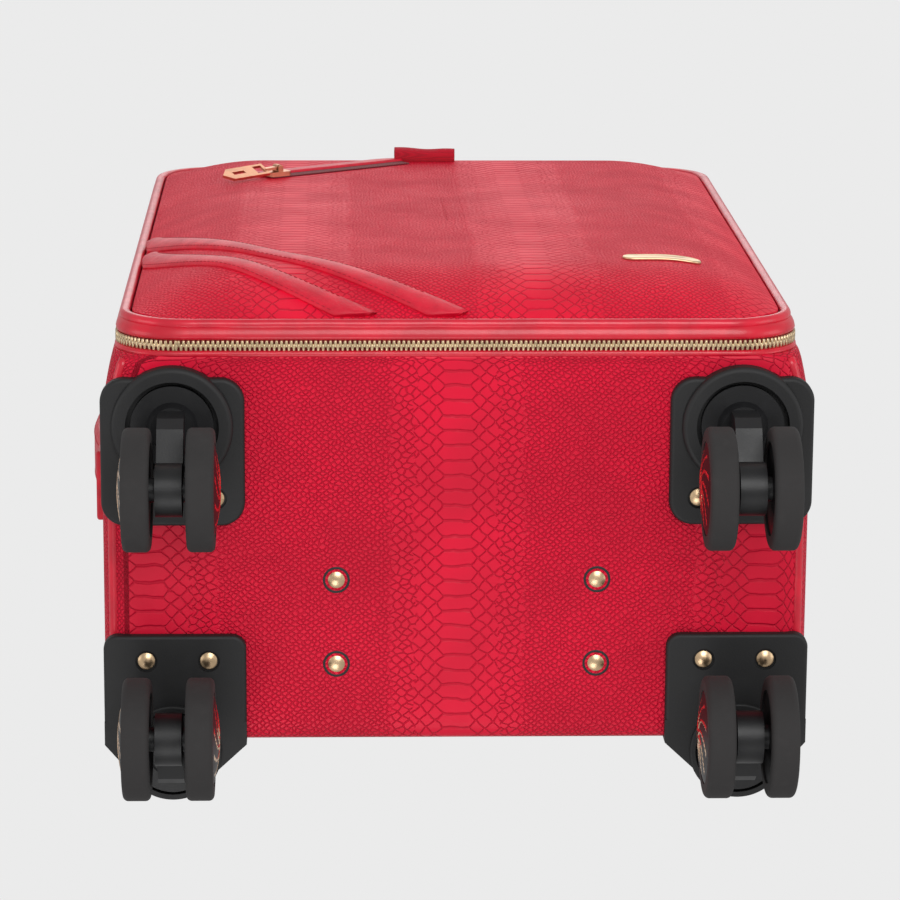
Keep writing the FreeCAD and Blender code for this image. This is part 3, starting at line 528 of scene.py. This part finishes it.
def cut_cup_mouth(made):
    """Opens the top of the body under the lip of the handle cup."""
    margin = 2.6
    x0, x1, y0, y1 = CUP[0][0] + margin, CUP[1][0] - margin, CUP[0][1] + margin, CUP[1][1] - 1.2
    shape = bmesh.new()
    shape.from_mesh(made.data)
    for place, normal in ((at(x0, 0, 0), (1, 0, 0)), (at(x1, 0, 0), (1, 0, 0)), (at(0, y0, 0), (0, 1, 0)),
                          (at(0, y1, 0), (0, 1, 0))):
        top = [f for f in shape.faces if f.calc_center_median().z > (TOP_Z - 1) * MM]
        geometry = top + list({e for f in top for e in f.edges}) + list({v for f in top for v in f.verts})
        bmesh.ops.bisect_plane(shape, geom=geometry, plane_co=place, plane_no=normal)
    low, high = at(x0, y0, TOP_Z - 1), at(x1, y1, TOP_Z + 1)
    inside = [f for f in shape.faces
              if all(low[k] < f.calc_center_median()[k] < high[k] for k in range(3))]
    bmesh.ops.delete(shape, geom=inside, context="FACES")
    shape.to_mesh(made.data)
    shape.free()


def body():
    """The skin of the bottom, sides and top, open at the zip and at the back."""
    ys = [-90.0, -89.6, -88.6, -87, -84, -80, -74, -66, -56, -45, -30, -15, 0, 15, 30, 45, 60, 70, 80, 90,
          ROUND_Y]
    sections = [(-90.2, body_ring(-90.2, 1.0))] + [(y, body_ring(y)) for y in ys]
    for angle in (15, 35, 55, 75):
        a = math.radians(angle)
        drop = ROUND_DROP * (1 - math.cos(a))
        sections.append((ROUND_Y + ROUND_LENGTH * math.sin(a), body_ring(ROUND_Y, drop, 11.0)))
    skin = loft("body_skin", sections, SKIN_BODY, "case", replaces=("bottom_cover", "side_and_top_cover"),
                slot="embossed_leather", shell=1.2)
    cut_cup_mouth(skin)


def back():
    rows, grain = [], []
    outline = ring(half_width(ROUND_Y) - BACK_RIM, BASE_Z + BACK_RIM, TOP_Z - BACK_RIM, 7.0)[0]
    centre = np.array([0.0, (BASE_Z + TOP_Z) / 2])
    for k in (1.0, 0.985, 0.96, 0.9, 0.75, 0.5, 0.25, 0.03):
        points = centre + (outline - centre) * k
        rows.append(upright(points, BACK_Y - 0.35 - 0.4 * (k > 0.99)))
        grain.append(points)
    n = len(outline)
    faces = grid_faces(len(rows), n, True) + end_faces(len(rows), n)[1:]
    piece("back_skin", np.concatenate(rows), faces, SKIN_BODY, "case", grain=np.concatenate(grain),
          replaces=("back_cover",), slot="embossed_leather", shell=1.2)


def edge_piping():
    """Piping along the four long edges, and the sewn lines of the body."""
    ys = np.linspace(-88.5, 98, 60)
    corners = np.array([corner_radius(y) for y in ys])
    widths = np.array([half_width(y) for y in ys])
    for label, side, level, up in (("bottom_left", -1, BASE_Z, 1), ("bottom_right", 1, BASE_Z, 1),
                                   ("top_left", -1, TOP_Z, -1), ("top_right", 1, TOP_Z, -1)):
        path = np.column_stack([side * (widths - CORNER_SAG * corners - 0.9), ys,
                                level + up * (CORNER_SAG * corners - 0.7)])
        tube(f"edge_piping_{label}", path, PIPE_R, PIPING_RED, "case", sides=14, slot="patent_leather",
             replaces=("body_piping",))
        seam = np.column_stack([side * (widths + 0.05), ys, level + up * (corners + 2.0)])[3:-4]
        stitch_line(f"edge_stitches_{label}", seam, [(side, 0, 0)] * len(seam), "case")
    half, y = 152.0, -86.6
    seam = [(x, y, BASE_Z - 0.05) for x in np.linspace(-half, half, 65)]
    stitch_line("bottom_front_stitches", seam, [(0, 0, -1)] * len(seam), "case", pitch=3.4)


# ---- zip -------------------------------------------------------------------------------------
HINGE_LOW, HINGE_HIGH = BASE_Z + 62.0, TOP_Z - 62.0


def on_hinge(x, z):
    return (x < -140) & (z > HINGE_LOW) & (z < HINGE_HIGH)


def zip_ring(inset=0.0):
    return ring(ZIP_HALF_W - inset, BASE_Z + 0.2 + inset, TOP_Z - 0.2 - inset, ZIP_CORNER - inset)


def strip(name, sections, material, body, **kwargs):
    """A loft with the stretch of the hinge left out."""
    made = loft(name, sections, material, body, **kwargs)
    shape = bmesh.new()
    shape.from_mesh(made.data)
    gone = []
    for f in shape.faces:
        x, _, z = local(f.calc_center_median())
        if on_hinge(x, z):
            gone.append(f)
    bmesh.ops.delete(shape, geom=gone, context="FACES")
    shape.to_mesh(made.data)
    shape.free()
    return made


def zip_teeth(name, body, y, offset):
    """Metal teeth standing on the tape, every TAPE_PITCH along the seam."""
    points, normals, along = zip_ring()
    total = along[-1] - along[0] + np.linalg.norm(points[0] - points[-1])
    loop = np.vstack([points, points[:1]])
    outward = np.vstack([normals, normals[:1]])
    length = np.concatenate([along - along[0], [total]])
    places = []
    for s in np.arange(offset, total, TAPE_PITCH):
        x, z = [np.interp(s, length, loop[:, k]) for k in range(2)]
        if on_hinge(x, z):
            continue
        out = np.array([np.interp(s, length, outward[:, 0]), 0, np.interp(s, length, outward[:, 1])])
        out /= np.linalg.norm(out)
        ahead = np.cross(out, np.array([0.0, 1.0, 0.0]))
        places.append((np.array([x, y, z]) - 0.5 * out, ahead, np.array([0.0, 1.0, 0.0]), out))
    repeat(name, block(1.45, 3.7, 1.9, 0.7), places, TEETH, body, slot="gold_metal")


def zips():
    def band(pairs):
        return [(y, zip_ring(inset)[0]) for y, inset in pairs]

    strip("zip_tape_case", band([(-92.0, 0.3), (-92.4, 0.0), (-93.2, 0.1), (-94.6, 0.2), (-95.9, 0.3)]), TAPE,
          "case", slot="zip_tape", shell=0.8, replaces=("main_zip_body_row",))
    strip("zip_tape_lid", band([(-96.1, 0.3), (-97.4, 0.2), (-98.8, 0.1), (-99.8, 0.2), (-100.1, 0.4)]), TAPE,
          "lid", slot="zip_tape", shell=0.8, replaces=("main_zip_lid_row",))
    zip_teeth("zip_teeth_case", "case", ZIP_Y + 0.9, 0.0)
    zip_teeth("zip_teeth_lid", "lid", ZIP_Y - 0.9, TAPE_PITCH / 2)


def gusset():
    """Rolled welt between the body and its half of the zip."""
    def section(y, inset):
        t = (y + 92.0) / 2.0
        return y, ring(ZIP_HALF_W - inset + 0.3 * t, BASE_Z + inset, TOP_Z - inset, 29.0 - 5.0 * t)[0]

    sections = [section(-92.6, 0.9), section(-92.5, -0.3), section(-92.0, -0.7), section(-91.4, -0.5),
                section(-90.9, 0.2), section(-90.4, 0.5), section(-89.6, 1.5), section(-87.5, 2.5)]
    loft("gusset_welt", sections, PATENT, "case", slot="patent_leather", shell=1.0, replaces=("zip_gusset",))


def lid_rim():
    """The lid's edge, from its piping to its half of the zip, turned in at the end."""
    def section(y, half, inset):
        return y, ring(half, BASE_Z + inset, TOP_Z - inset, 31.0)[0]

    sections = [section(-104.9, 165.6, 2.6), section(-104.2, 166.9, 1.3), section(-103.2, 167.7, 0.5),
                section(-101.8, 168.3, 0.0), section(-100.6, 168.6, -0.3), section(-99.9, 168.5, -0.2),
                section(-99.5, 167.9, 0.4), section(-99.5, 164.0, 4.3), section(-99.6, 156.5, 11.8)]
    loft("lid_rim_welt", sections, PATENT, "lid", slot="patent_leather", shell=0.9, replaces=("lid_rim",))


def lid_piping():
    path, _, along = ring(PIPE_HALF_W, PIPE_LOW, PIPE_HIGH, 32.0, 90, 126, 12)
    wave = 0.12 * np.sin(along / 9.0) + 0.08 * np.sin(along / 4.3 + 1.0)
    points = upright(path, PIPING_Y + wave * 0.5)
    tube("lid_piping_roll", points, PIPE_R + wave * 0.4, PIPING_RED, "lid", sides=18, closed=True,
         slot="patent_leather", replaces=("lid_piping",))


def hinge():
    """The leather strip that the lid folds on."""
    zs = np.linspace(HINGE_LOW - 3, HINGE_HIGH + 3, 40)
    ys = np.array([-101.0, -100.2, -99.2, -98.0, -97.0, -96.0, -95.0, -94.0, -92.8, -91.8, -91.0])
    bulge = 0.7 - 0.5 * ((ys + 96.0) / 5.0) ** 2
    rows = [np.column_stack([-ZIP_HALF_W - bulge, ys, np.full(len(ys), z)]) for z in zs]
    made = piece("hinge_strip", np.concatenate(rows), grid_faces(len(zs), len(ys)), BAND_RED, None,
                 slot="smooth_leather", shell=0.9)
    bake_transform(made)


# ---- lid -------------------------------------------------------------------------------------
def dome(x, z):
    """How far the padded pocket stands in front of the piping plane."""
    rise_x = np.clip((165.0 - np.abs(x)) / DOME_RUN, 0, 1)
    rise_z = np.clip(np.minimum(z - BASE_Z - 3.0, TOP_Z - 3.0 - z) / DOME_RUN, 0, 1)
    top = 20.0 - 5.0 * smooth((z - BASE_Z - 180.0) / 165.0)
    return top * (1 - (1 - rise_x) ** 2) * (1 - (1 - rise_z) ** 2)


def dome_normal(x, z):
    step = 0.5
    slope_x = (dome(x + step, z) - dome(x - step, z)) / (2 * step)
    slope_z = (dome(x, z + step) - dome(x, z - step)) / (2 * step)
    normal = np.column_stack([-slope_x, -np.ones_like(slope_x), -slope_z])
    return normal / np.linalg.norm(normal, axis=1)[:, None]


def on_dome(points, lift=0.0):
    """Case points for (x, z) places on the pocket, lifted off it."""
    points = np.asarray(points, float)
    surface = upright(points, PIPING_Y - dome(points[:, 0], points[:, 1]))
    return surface + dome_normal(points[:, 0], points[:, 1]) * np.reshape(lift, (-1, 1))


def front_panel():
    insets = [0.0, 0.6, 1.4, 2.6, 4.2, 6.4, 9, 12, 16, 20, 25, 30, 36, 42, 48, 54, 60, 67, 75, 84, 94, 105,
              118, 132, 146, 158, 161.5]
    rows, grain = [], []
    for inset in insets:
        corner = max(PANEL_CORNER - inset, 0.4)
        points = ring(PANEL_HALF_W - inset, PANEL_LOW + inset, PANEL_HIGH - inset, corner)[0]
        rows.append(on_dome(points, -1.0 * (inset < 0.1)))
        grain.append(points)
    count = len(rows[0])
    faces = grid_faces(len(rows), count, True) + end_faces(len(rows), count)[1:]
    piece("front_panel_skin", np.concatenate(rows), faces, SKIN_FRONT, "lid", grain=np.concatenate(grain),
          replaces=("front_panel",), slot="embossed_leather", shell=2.4)


def bezier(points, count):
    (a, b, c), t = np.array(points, float), np.linspace(0, 1, count)[:, None]
    return (1 - t) ** 2 * a + 2 * t * (1 - t) * b + t ** 2 * c


def ribbon(path, normals, profile):
    """Sweeps a profile of (sideways, lift) points along a path lying on a surface."""
    ahead = np.gradient(path, axis=0)
    ahead /= np.linalg.norm(ahead, axis=1)[:, None]
    side = np.cross(normals, ahead)
    side /= np.linalg.norm(side, axis=1)[:, None]
    rows = [path + side * w + normals * h for w, h in profile]
    return np.stack(rows, 1).reshape(-1, 3)


# Control points of the two bands, from the lid's lower left corner.
BANDS = [((4.0, 202.0), (40.0, 76.0), (167.0, 2.0)), ((5.0, 156.0), (26.0, 56.0), (122.0, 1.0))]
BAND_TUCK = 1.4                         # the bands stop this far inside the panel's edge
BAND_PROFILE = [(-6.3, -0.8), (-6.5, 0.5), (-6.2, 1.3), (-5.4, 1.8), (-3.4, 2.5), (0.0, 2.8), (3.4, 2.5),
                (5.4, 1.8), (6.2, 1.3), (6.5, 0.5), (6.3, -0.8)]


def corner_bands():
    for label, points in zip(("outer", "inner"), BANDS):
        flat = bezier([(x - 165.0, z + BASE_Z + 3.0) for x, z in points], 90)
        ahead = np.gradient(flat, axis=0)
        ahead /= np.linalg.norm(ahead, axis=1)[:, None]
        side = np.column_stack([-ahead[:, 1], ahead[:, 0]])

        def strand(across, lift):
            """A line along the band, kept inside the piping."""
            line = flat + side * across
            line[:, 0] = np.maximum(line[:, 0], -PANEL_HALF_W + BAND_TUCK)
            line[:, 1] = np.maximum(line[:, 1], PANEL_LOW + BAND_TUCK)
            return line, on_dome(line, lift)

        rows = np.stack([strand(w, h)[1] for w, h in BAND_PROFILE], 1).reshape(-1, 3)
        ring_n = len(BAND_PROFILE)
        faces = grid_faces(len(flat), ring_n, True) + end_faces(len(flat), ring_n)
        made = piece(f"corner_band_{label}", rows, faces, BAND_RED, "lid", slot="smooth_leather",
                     replaces=("corner_bands",))
        for sign in (-1, 1):
            line, seam = strand(sign * 5.2, 1.95)
            stitch_line(f"band_stitches_{label}_{'low' if sign < 0 else 'high'}", seam[4:-8],
                        dome_normal(line[:, 0], line[:, 1])[4:-8], "lid", 3.4, 0.2)


SLIDER = [local(c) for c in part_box("pocket_slider")]
ZIP_A = (SLIDER[0] + SLIDER[1])[[0, 2]] / 2      # the pocket zip's two ends
ZIP_B = ZIP_A + np.array([71.0, 48.0])


def pocket_zip():
    """Slit with its tape, small teeth and the smooth welt that covers its upper edge."""
    along = (ZIP_B - ZIP_A) / np.linalg.norm(ZIP_B - ZIP_A)
    up = np.array([-along[1], along[0]])
    ts = np.linspace(-6.0, np.linalg.norm(ZIP_B - ZIP_A) + 5.0, 50)
    line = ZIP_A + ts[:, None] * along
    path, normals = on_dome(line), dome_normal(line[:, 0], line[:, 1])
    tape = [(-4.3, 0.1), (-3.9, 0.5), (0.0, 0.35), (3.9, 0.5), (4.3, 0.1)]
    piece("pocket_zip_tape", ribbon(path, normals, tape), grid_faces(len(path), len(tape)), TAPE, "lid",
          slot="zip_tape", shell=0.4, replaces=("pocket_zip",))
    places = []
    for i, t in enumerate(np.arange(-4.0, ts[-1] - 2.0, 1.25)):
        spot = ZIP_A + t * along + up * (0.55 if i % 2 else -0.55)
        here, normal = on_dome([spot], 0.1)[0], dome_normal(spot[:1], spot[1:])[0]
        x = np.array([along[0], 0, along[1]])
        places.append((here, x, np.cross(normal, x), normal))
    repeat("pocket_zip_teeth", block(0.8, 1.7, 0.5, 0.7), places, ROSE, "lid", slot="gold_metal")
    welt_line = ZIP_A + (ts[:, None] * 1.03 - 2.0) * along + up * 10.5
    path, normals = on_dome(welt_line), dome_normal(welt_line[:, 0], welt_line[:, 1])
    profile = [(-6.4, 0.0), (-6.6, 1.0), (-6.0, 1.7), (-4.0, 1.7), (0.0, 1.5), (4.0, 1.2), (6.2, 0.7),
               (6.5, -0.4)]
    piece("pocket_welt", ribbon(path, normals, profile), grid_faces(len(path), len(profile)), BAND_RED, "lid",
          slot="smooth_leather", shell=0.5)
    for offset in (-5.2, 5.2):
        stitch_line("welt_stitches_" + ("low" if offset < 0 else "high"),
                    ribbon(path, normals, [(offset, 1.55 if offset < 0 else 0.95)]), normals, "lid", 3.0)


TAB = [local(c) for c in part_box("pull_tab")]


def pull_tab():
    """Folded satin loop that stands on the pocket; its left end opens out a little."""
    steps, turns = 26, 25
    x0, x1 = TAB[0][0] - 2.0, TAB[1][0] + 2.0
    foot = PIPING_Y - float(dome(np.array([0.0]), np.array([TAB[0][2] + 4.0]))[0])
    middle, rows = (TAB[0][2] + TAB[1][2]) / 2, []
    for t in np.linspace(0, 1, steps):
        flare = 1.0 + 0.55 * (1 - t) ** 3
        tall = 8.2 + 1.0 * (1 - t) ** 2 + 0.3 * math.sin(9 * t)
        for a in np.linspace(-0.5, 1.5, turns):
            angle = a * math.pi
            drop = 0.5 - 0.5 * math.sin(angle)
            z = middle + 3.4 * flare * math.cos(angle) * (1 - 0.35 * drop)
            rows.append((x0 + (x1 - x0) * t, foot - tall * (1 - drop) + 0.6, z))
    piece("pull_tab_loop", rows, grid_faces(steps, turns), SATIN, "lid", slot="smooth_leather", shell=1.1,
          replaces=("pull_tab",))


def badge():
    """Plain name plate with nothing on it."""
    box = [local(c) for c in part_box("badge_plate")]
    half, middle = (box[1] - box[0])[[0, 2]] / 2, (box[1] + box[0])[[0, 2]] / 2
    rows = []
    for inset, lift in ((0.0, 0.0), (0.0, 0.9), (0.35, 1.3), (1.2, 1.45), (1.5, 1.25), (2.6, 1.3),
                        (4.6, 1.38)):
        points = ring(half[0] - inset, middle[1] - half[1] + inset, middle[1] + half[1] - inset,
                      max(half[1] - inset - 0.05, 0.4), 12, 1, 8)[0]
        points[:, 0] += middle[0]
        rows.append(on_dome(points, lift))
    count = len(rows[0])
    faces = grid_faces(len(rows), count, True) + end_faces(len(rows), count)
    piece("badge_plain", np.concatenate(rows), faces, GOLD, "lid", slot="gold_metal",
          replaces=("badge_plate",))


# ---- carry handles ---------------------------------------------------------------------------
def carry_handle(node, u, n, body):
    """Padded strap arched along u and standing off along n, with two sewn lines."""
    steps, sides = 60, 28
    box = np.array([local(c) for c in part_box(node)])
    u, n = np.array(u, float), np.array(n, float)
    v = np.cross(n, u)
    middle = box.mean(0)
    half_u, half_v = [abs((box[1] - box[0]) @ axis) / 2 for axis in (u, v)]
    base, top = sorted(corner @ n for corner in box)
    centre = middle - (middle @ n) * n
    profile = []
    for a in np.arange(sides) * 2 * math.pi / sides:
        ca, sa = math.cos(a), math.sin(a)
        profile.append((half_v * np.sign(ca) * abs(ca) ** 0.45, np.sign(sa) * abs(sa) ** 0.6))
    rows, upper = [], []
    for t in np.linspace(-1, 1, steps):
        arch = 1 - t * t
        mid = base + 1.7 + (top - base - 5.3) * arch
        thick = 1.2 + 2.3 * smooth(np.array(arch * 2.2))
        narrow = 0.86 + 0.14 * smooth(np.array(arch * 3))
        for w, h in profile:
            rows.append(centre + u * half_u * t + v * w * narrow + n * (mid + h * thick))
        upper.append(centre + u * half_u * t + n * (mid + thick))
    faces = grid_faces(steps, sides, True) + end_faces(steps, sides)
    made = piece(node + "_strap", rows, faces, HANDLE_RED, body, slot="smooth_leather", replaces=(node,))
    for side in (-1, 1):
        seam = [p + v * side * (half_v - 4.0) - n * 0.25 for p in upper[6:-6]]
        stitch_line(f"{node}_stitches_{'a' if side < 0 else 'b'}", seam, [n] * len(seam), body)


# ---- lining ----------------------------------------------------------------------------------
LINING_BACK = 79.0                      # where the lining turns in to its back


def lining():
    low, high = BASE_Z + 16.0, TOP_Z - 10.0
    cup_low, cup_front = CUP[0][2] - 4.0, CUP[0][1] - 1.0

    def section(y, roof, half=159.0):
        points, normals, along = ring(half, low, roof, 10.0)
        sag = 0.5 * np.sin(along / 23.0 + y / 17.0) + 0.35 * np.sin(along / 9.0 - y / 11.0)
        return y, points - normals * (0.9 + sag)[:, None]

    ys = list(np.arange(-86.0, cup_front - 1, 6.0))
    sections = [section(y, high) for y in ys] + [section(cup_front - 0.5, high), section(cup_front, cup_low),
                                                 section(cup_front + 8, cup_low),
                                                 section(LINING_BACK - 1, cup_low),
                                                 section(LINING_BACK, cup_low, 157.0)]
    loft("case_lining", sections, LINING, "case", slot="lining_fabric", replaces=("body_lining",), shell=0.8)
    outline = section(LINING_BACK, cup_low, 157.0)[1]
    centre = outline.mean(0)
    rows = []
    for k in (1.0, 0.9, 0.75, 0.55, 0.3, 0.05):
        points = centre + (outline - centre) * k
        ripple = 0.5 * np.sin(points[:, 0] / 21.0) * np.sin(points[:, 1] / 27.0)
        rows.append(upright(points, LINING_BACK + ripple - 0.6))
    n = len(outline)
    faces = grid_faces(len(rows), n, True) + end_faces(len(rows), n)[1:]
    piece("case_lining_back", np.concatenate(rows), faces, LINING, "case", slot="lining_fabric", shell=0.8)


def lid_lining():
    rows = []
    for inset in (0.0, 1.5, 4, 10, 25, 50, 90, 140, 157):
        points = ring(158.0 - inset, BASE_Z + 10.5 + inset, TOP_Z - 10.5 - inset, max(24.0 - inset, 0.4))[0]
        puff = 1.2 * smooth(np.array(inset / 12.0))
        puff = puff + 0.4 * np.sin(points[:, 0] / 19.0) * np.sin(points[:, 1] / 23.0)
        rows.append(upright(points, -99.2 + np.minimum(puff, 2.4)))
    piece("lid_lining_pad", np.concatenate(rows), grid_faces(len(rows), len(rows[0]), True), LINING, "lid",
          slot="lining_fabric", replaces=("lid_lining",), shell=0.8)


# ---- casters ---------------------------------------------------------------------------------
CORNERS = ("front_left", "front_right", "rear_left", "rear_right")
CAP_R = 22.6
CROWN = 3.4                             # how much lower a cap's rim is than its middle
VANES, VANE_DEPTH = 9, 1.7
FOOT_SCREW_IN = 15.0                    # from the end of the handle foot to its screws
FOOT_SCREW_Y = (23.0, 66.5)


def wheel_caps():
    """Metallised cap of each wheel: a shallow crown with twisted vanes inside a plain rim."""
    radii = np.array([0.4, 3.0, 4.6, 5.2, 6.2, 7.6, 9.2, 11.0, 13.0, 15.0, 16.6, 18.0, 18.8, 19.6, 20.8,
                      CAP_R])
    angles = np.arange(144) * 2 * math.pi / 144
    for corner in CORNERS:
        for wheel in "ab":
            hub = [local(c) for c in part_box(f"{corner}_hub_{wheel}")]
            side = -1 if wheel == "a" else 1
            face = (hub[0] if side < 0 else hub[1])[0]
            middle = (hub[0] + hub[1]) / 2
            points, rise = [], []
            for r in radii:
                crown = -CROWN * (r / CAP_R) ** 2
                zone = float(smooth(np.array((r - 4.2) / 2.0)) * smooth(np.array((19.4 - r) / 1.2)))
                vane = 0.5 + 0.5 * np.cos(VANES * (angles + 0.075 * r))
                lift = np.clip(vane * 1.6 - 0.3, 0, 1)
                level = crown + 0.35 - VANE_DEPTH * zone * (1 - lift)
                points.append(np.column_stack([face + side * level, middle[1] + r * np.cos(angles),
                                               middle[2] + side * r * np.sin(angles)]))
                # rise sets the painted highlight on the raised parts and the painted shade in the sunken ones
                rise.append(1 - zone * (1 - lift))
            count = len(angles)
            faces = grid_faces(len(radii), count, True) + end_faces(len(radii), count)[:1]
            made = piece(f"{corner}_cap_{wheel}", np.concatenate(points), faces, CAP,
                         f"{corner}_wheel_{wheel}", slot="rose_gold_cap")
            layer = made.data.attributes.new("rise", "FLOAT", "POINT")
            layer.data.foreach_set("value", np.concatenate(rise).astype(np.float32))


def foot_washers():
    """Dark washers under the handle foot's screws."""
    box = [local(c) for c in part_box("trolley_feet")]
    for i, x in enumerate((box[0][0] + FOOT_SCREW_IN, box[1][0] - FOOT_SCREW_IN)):
        for j, y in enumerate(FOOT_SCREW_Y):
            profile = [(5.0, 0.2), (5.1, -1.0), (6.2, -1.5), (7.2, -1.0), (7.5, 0.2)]
            points = [(x + r * math.cos(a), y + r * math.sin(a), BASE_Z + h)
                      for r, h in profile for a in np.arange(32) * math.pi / 16]
            piece(f"foot_washer_{i}{j}", points, grid_faces(len(profile), 32, True), RUBBER, "case",
                  slot="caster_plastic", shell=0.4)


# ---- finishes of the CAD nodes that stay -------------------------------------------------------
def finish_nodes():
    looks = {"body_board": BOARD, "lid_board": BOARD, "bottom_screws": GOLD, "pocket_slider": ROSE,
             "pocket_puller": ROSE, "trolley_outer_tubes": TUBE, "trolley_middle_tubes": TUBE,
             "trolley_inner_tubes": TUBE, "trolley_feet": GRIP, "trolley_cup": GRIP, "trolley_grip": GRIP,
             "trolley_button": FORK, "handle_brackets": HANDLE_RED}
    for which in ("left", "right"):
        looks[f"main_slider_{which}"] = looks[f"main_puller_{which}"] = GOLD
    for corner in CORNERS:
        looks[f"{corner}_housing"] = HOUSING
        looks[f"{corner}_fork"] = FORK
        for wheel in "ab":
            looks[f"{corner}_tyre_{wheel}"] = TYRE
            looks[f"{corner}_hub_{wheel}"] = FORK
    for node, material in looks.items():
        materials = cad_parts[node].data.materials
        materials.clear()
        materials.append(material)


# ---- stage, light and camera -------------------------------------------------------------------
FOCAL_PX, PICTURE_PX, SENSOR_MM = 3724.5, 900, 36.0
CAMERA_DISTANCE = 1852.0
YAW, PITCH, ROLL = 0.0325, 0.2333, 0.002
AIM_OFFSET = (0.00188, -0.02266)        # where the bottom's middle lies off the view axis, as slopes


def camera():
    """Looks up at the bottom and the front from low down in front of the standing case."""
    z = np.array([-math.sin(YAW) * math.cos(PITCH), math.sin(PITCH), -math.cos(YAW) * math.cos(PITCH)])
    x = np.array([math.cos(YAW), 0.0, -math.sin(YAW)])
    x -= (x @ z) * z
    x /= np.linalg.norm(x)
    turn = np.column_stack([x, np.cross(z, x), z])
    c, s = math.cos(ROLL), math.sin(ROLL)
    turn = np.array([[c, -s, 0], [s, c, 0], [0, 0, 1]]) @ turn
    target = np.array([AIM_OFFSET[0], AIM_OFFSET[1], -1.0]) * CAMERA_DISTANCE
    place = at(0, 0, BASE_Z) - Vector(turn.T @ target) * MM
    data = bpy.data.cameras.new("camera")
    data.sensor_width, data.lens = SENSOR_MM, FOCAL_PX / PICTURE_PX * SENSOR_MM
    data.clip_start, data.clip_end = 0.05, 50.0
    made = new_object("camera", data)
    made.matrix_world = Matrix.Translation(place) @ Matrix([list(row) for row in turn.T]).to_4x4()
    bpy.context.scene.camera = made


def floor():
    """Pale floor. It is clear from below, where the camera stands, and lets the low lights through."""
    mesh = bpy.data.meshes.new("floor")
    r = 3.0
    mesh.from_pydata([(-r, -r, 0), (r, -r, 0), (r, r, 0), (-r, r, 0)], [], [(0, 1, 2, 3)])
    made = new_object("floor", mesh)
    g = Graph("floor")
    grain = g.noise(g.place(), 60.0, 4.0)
    pale = g.mix(grain, rgb(226, 226, 226), rgb(232, 232, 232))
    diffuse = g.add("ShaderNodeBsdfDiffuse", Color=pale)
    clear = g.add("ShaderNodeBsdfTransparent")
    under = g.add("ShaderNodeNewGeometry").outputs["Backfacing"]
    mixed = g.add("ShaderNodeMixShader")
    for socket, value in zip(mixed.inputs, (under, diffuse.outputs[0], clear.outputs[0])):
        g.put(socket, value)
    g.put(g.output.inputs[0], mixed.outputs[0])
    mesh.materials.append(g.material)
    for ray in ("visible_shadow", "visible_diffuse", "visible_glossy", "visible_transmission"):
        setattr(made, ray, False)


def area_light(name, place, target, size, power):
    data = bpy.data.lights.new(name, "AREA")
    data.size, data.energy = size, power
    made = new_object(name, data)
    made.location = place
    made.rotation_mode = "QUATERNION"
    made.rotation_quaternion = (target - place).to_track_quat("-Z", "Y")
    made.visible_camera = False


FILL = 0.62                             # how bright the backdrop is as light, against how it looks


def light():
    world = bpy.data.worlds.new("studio")
    bpy.context.scene.world = world
    world.use_nodes = True
    tree = world.node_tree
    background = tree.nodes["Background"]
    background.inputs[0].default_value = rgb(235, 235, 235)
    seen = tree.nodes.new("ShaderNodeLightPath")
    share = tree.nodes.new("ShaderNodeMapRange")
    share.inputs["To Min"].default_value = FILL
    tree.links.new(seen.outputs["Is Camera Ray"], share.inputs["Value"])
    tree.links.new(share.outputs[0], background.inputs[1])
    bottom = at(0, 0, BASE_Z)
    area_light("key", bottom + Vector((0.25, -0.9, -1.3)), bottom, 0.9, 11.5)
    area_light("rear", bottom + Vector((-0.3, 0.9, -1.2)), bottom, 0.8, 5.0)
    area_light("left", bottom + Vector((-1.2, -0.2, -0.3)), bottom, 0.7, 2.2)
    area_light("right", bottom + Vector((1.2, -0.2, -0.3)), bottom, 0.7, 2.2)
    area_light("far", bottom + Vector((0.0, -0.9, 1.6)), bottom + Vector((0, -0.1, 0.25)), 1.2, 6.0)
    bpy.context.scene.view_settings.view_transform = "Standard"
    bpy.context.scene.view_settings.look = "None"


# ---- build -----------------------------------------------------------------------------------
body()
back()
edge_piping()
zips()
gusset()
lid_rim()
lid_piping()
hinge()
front_panel()
corner_bands()
pocket_zip()
pull_tab()
badge()
carry_handle("side_handle", (0, 0, 1), (-1, 0, 0), "side_handle")
carry_handle("top_handle", (1, 0, 0), (0, 0, 1), "top_handle")
lining()
lid_lining()
wheel_caps()
foot_washers()
finish_nodes()
floor()
light()
camera()
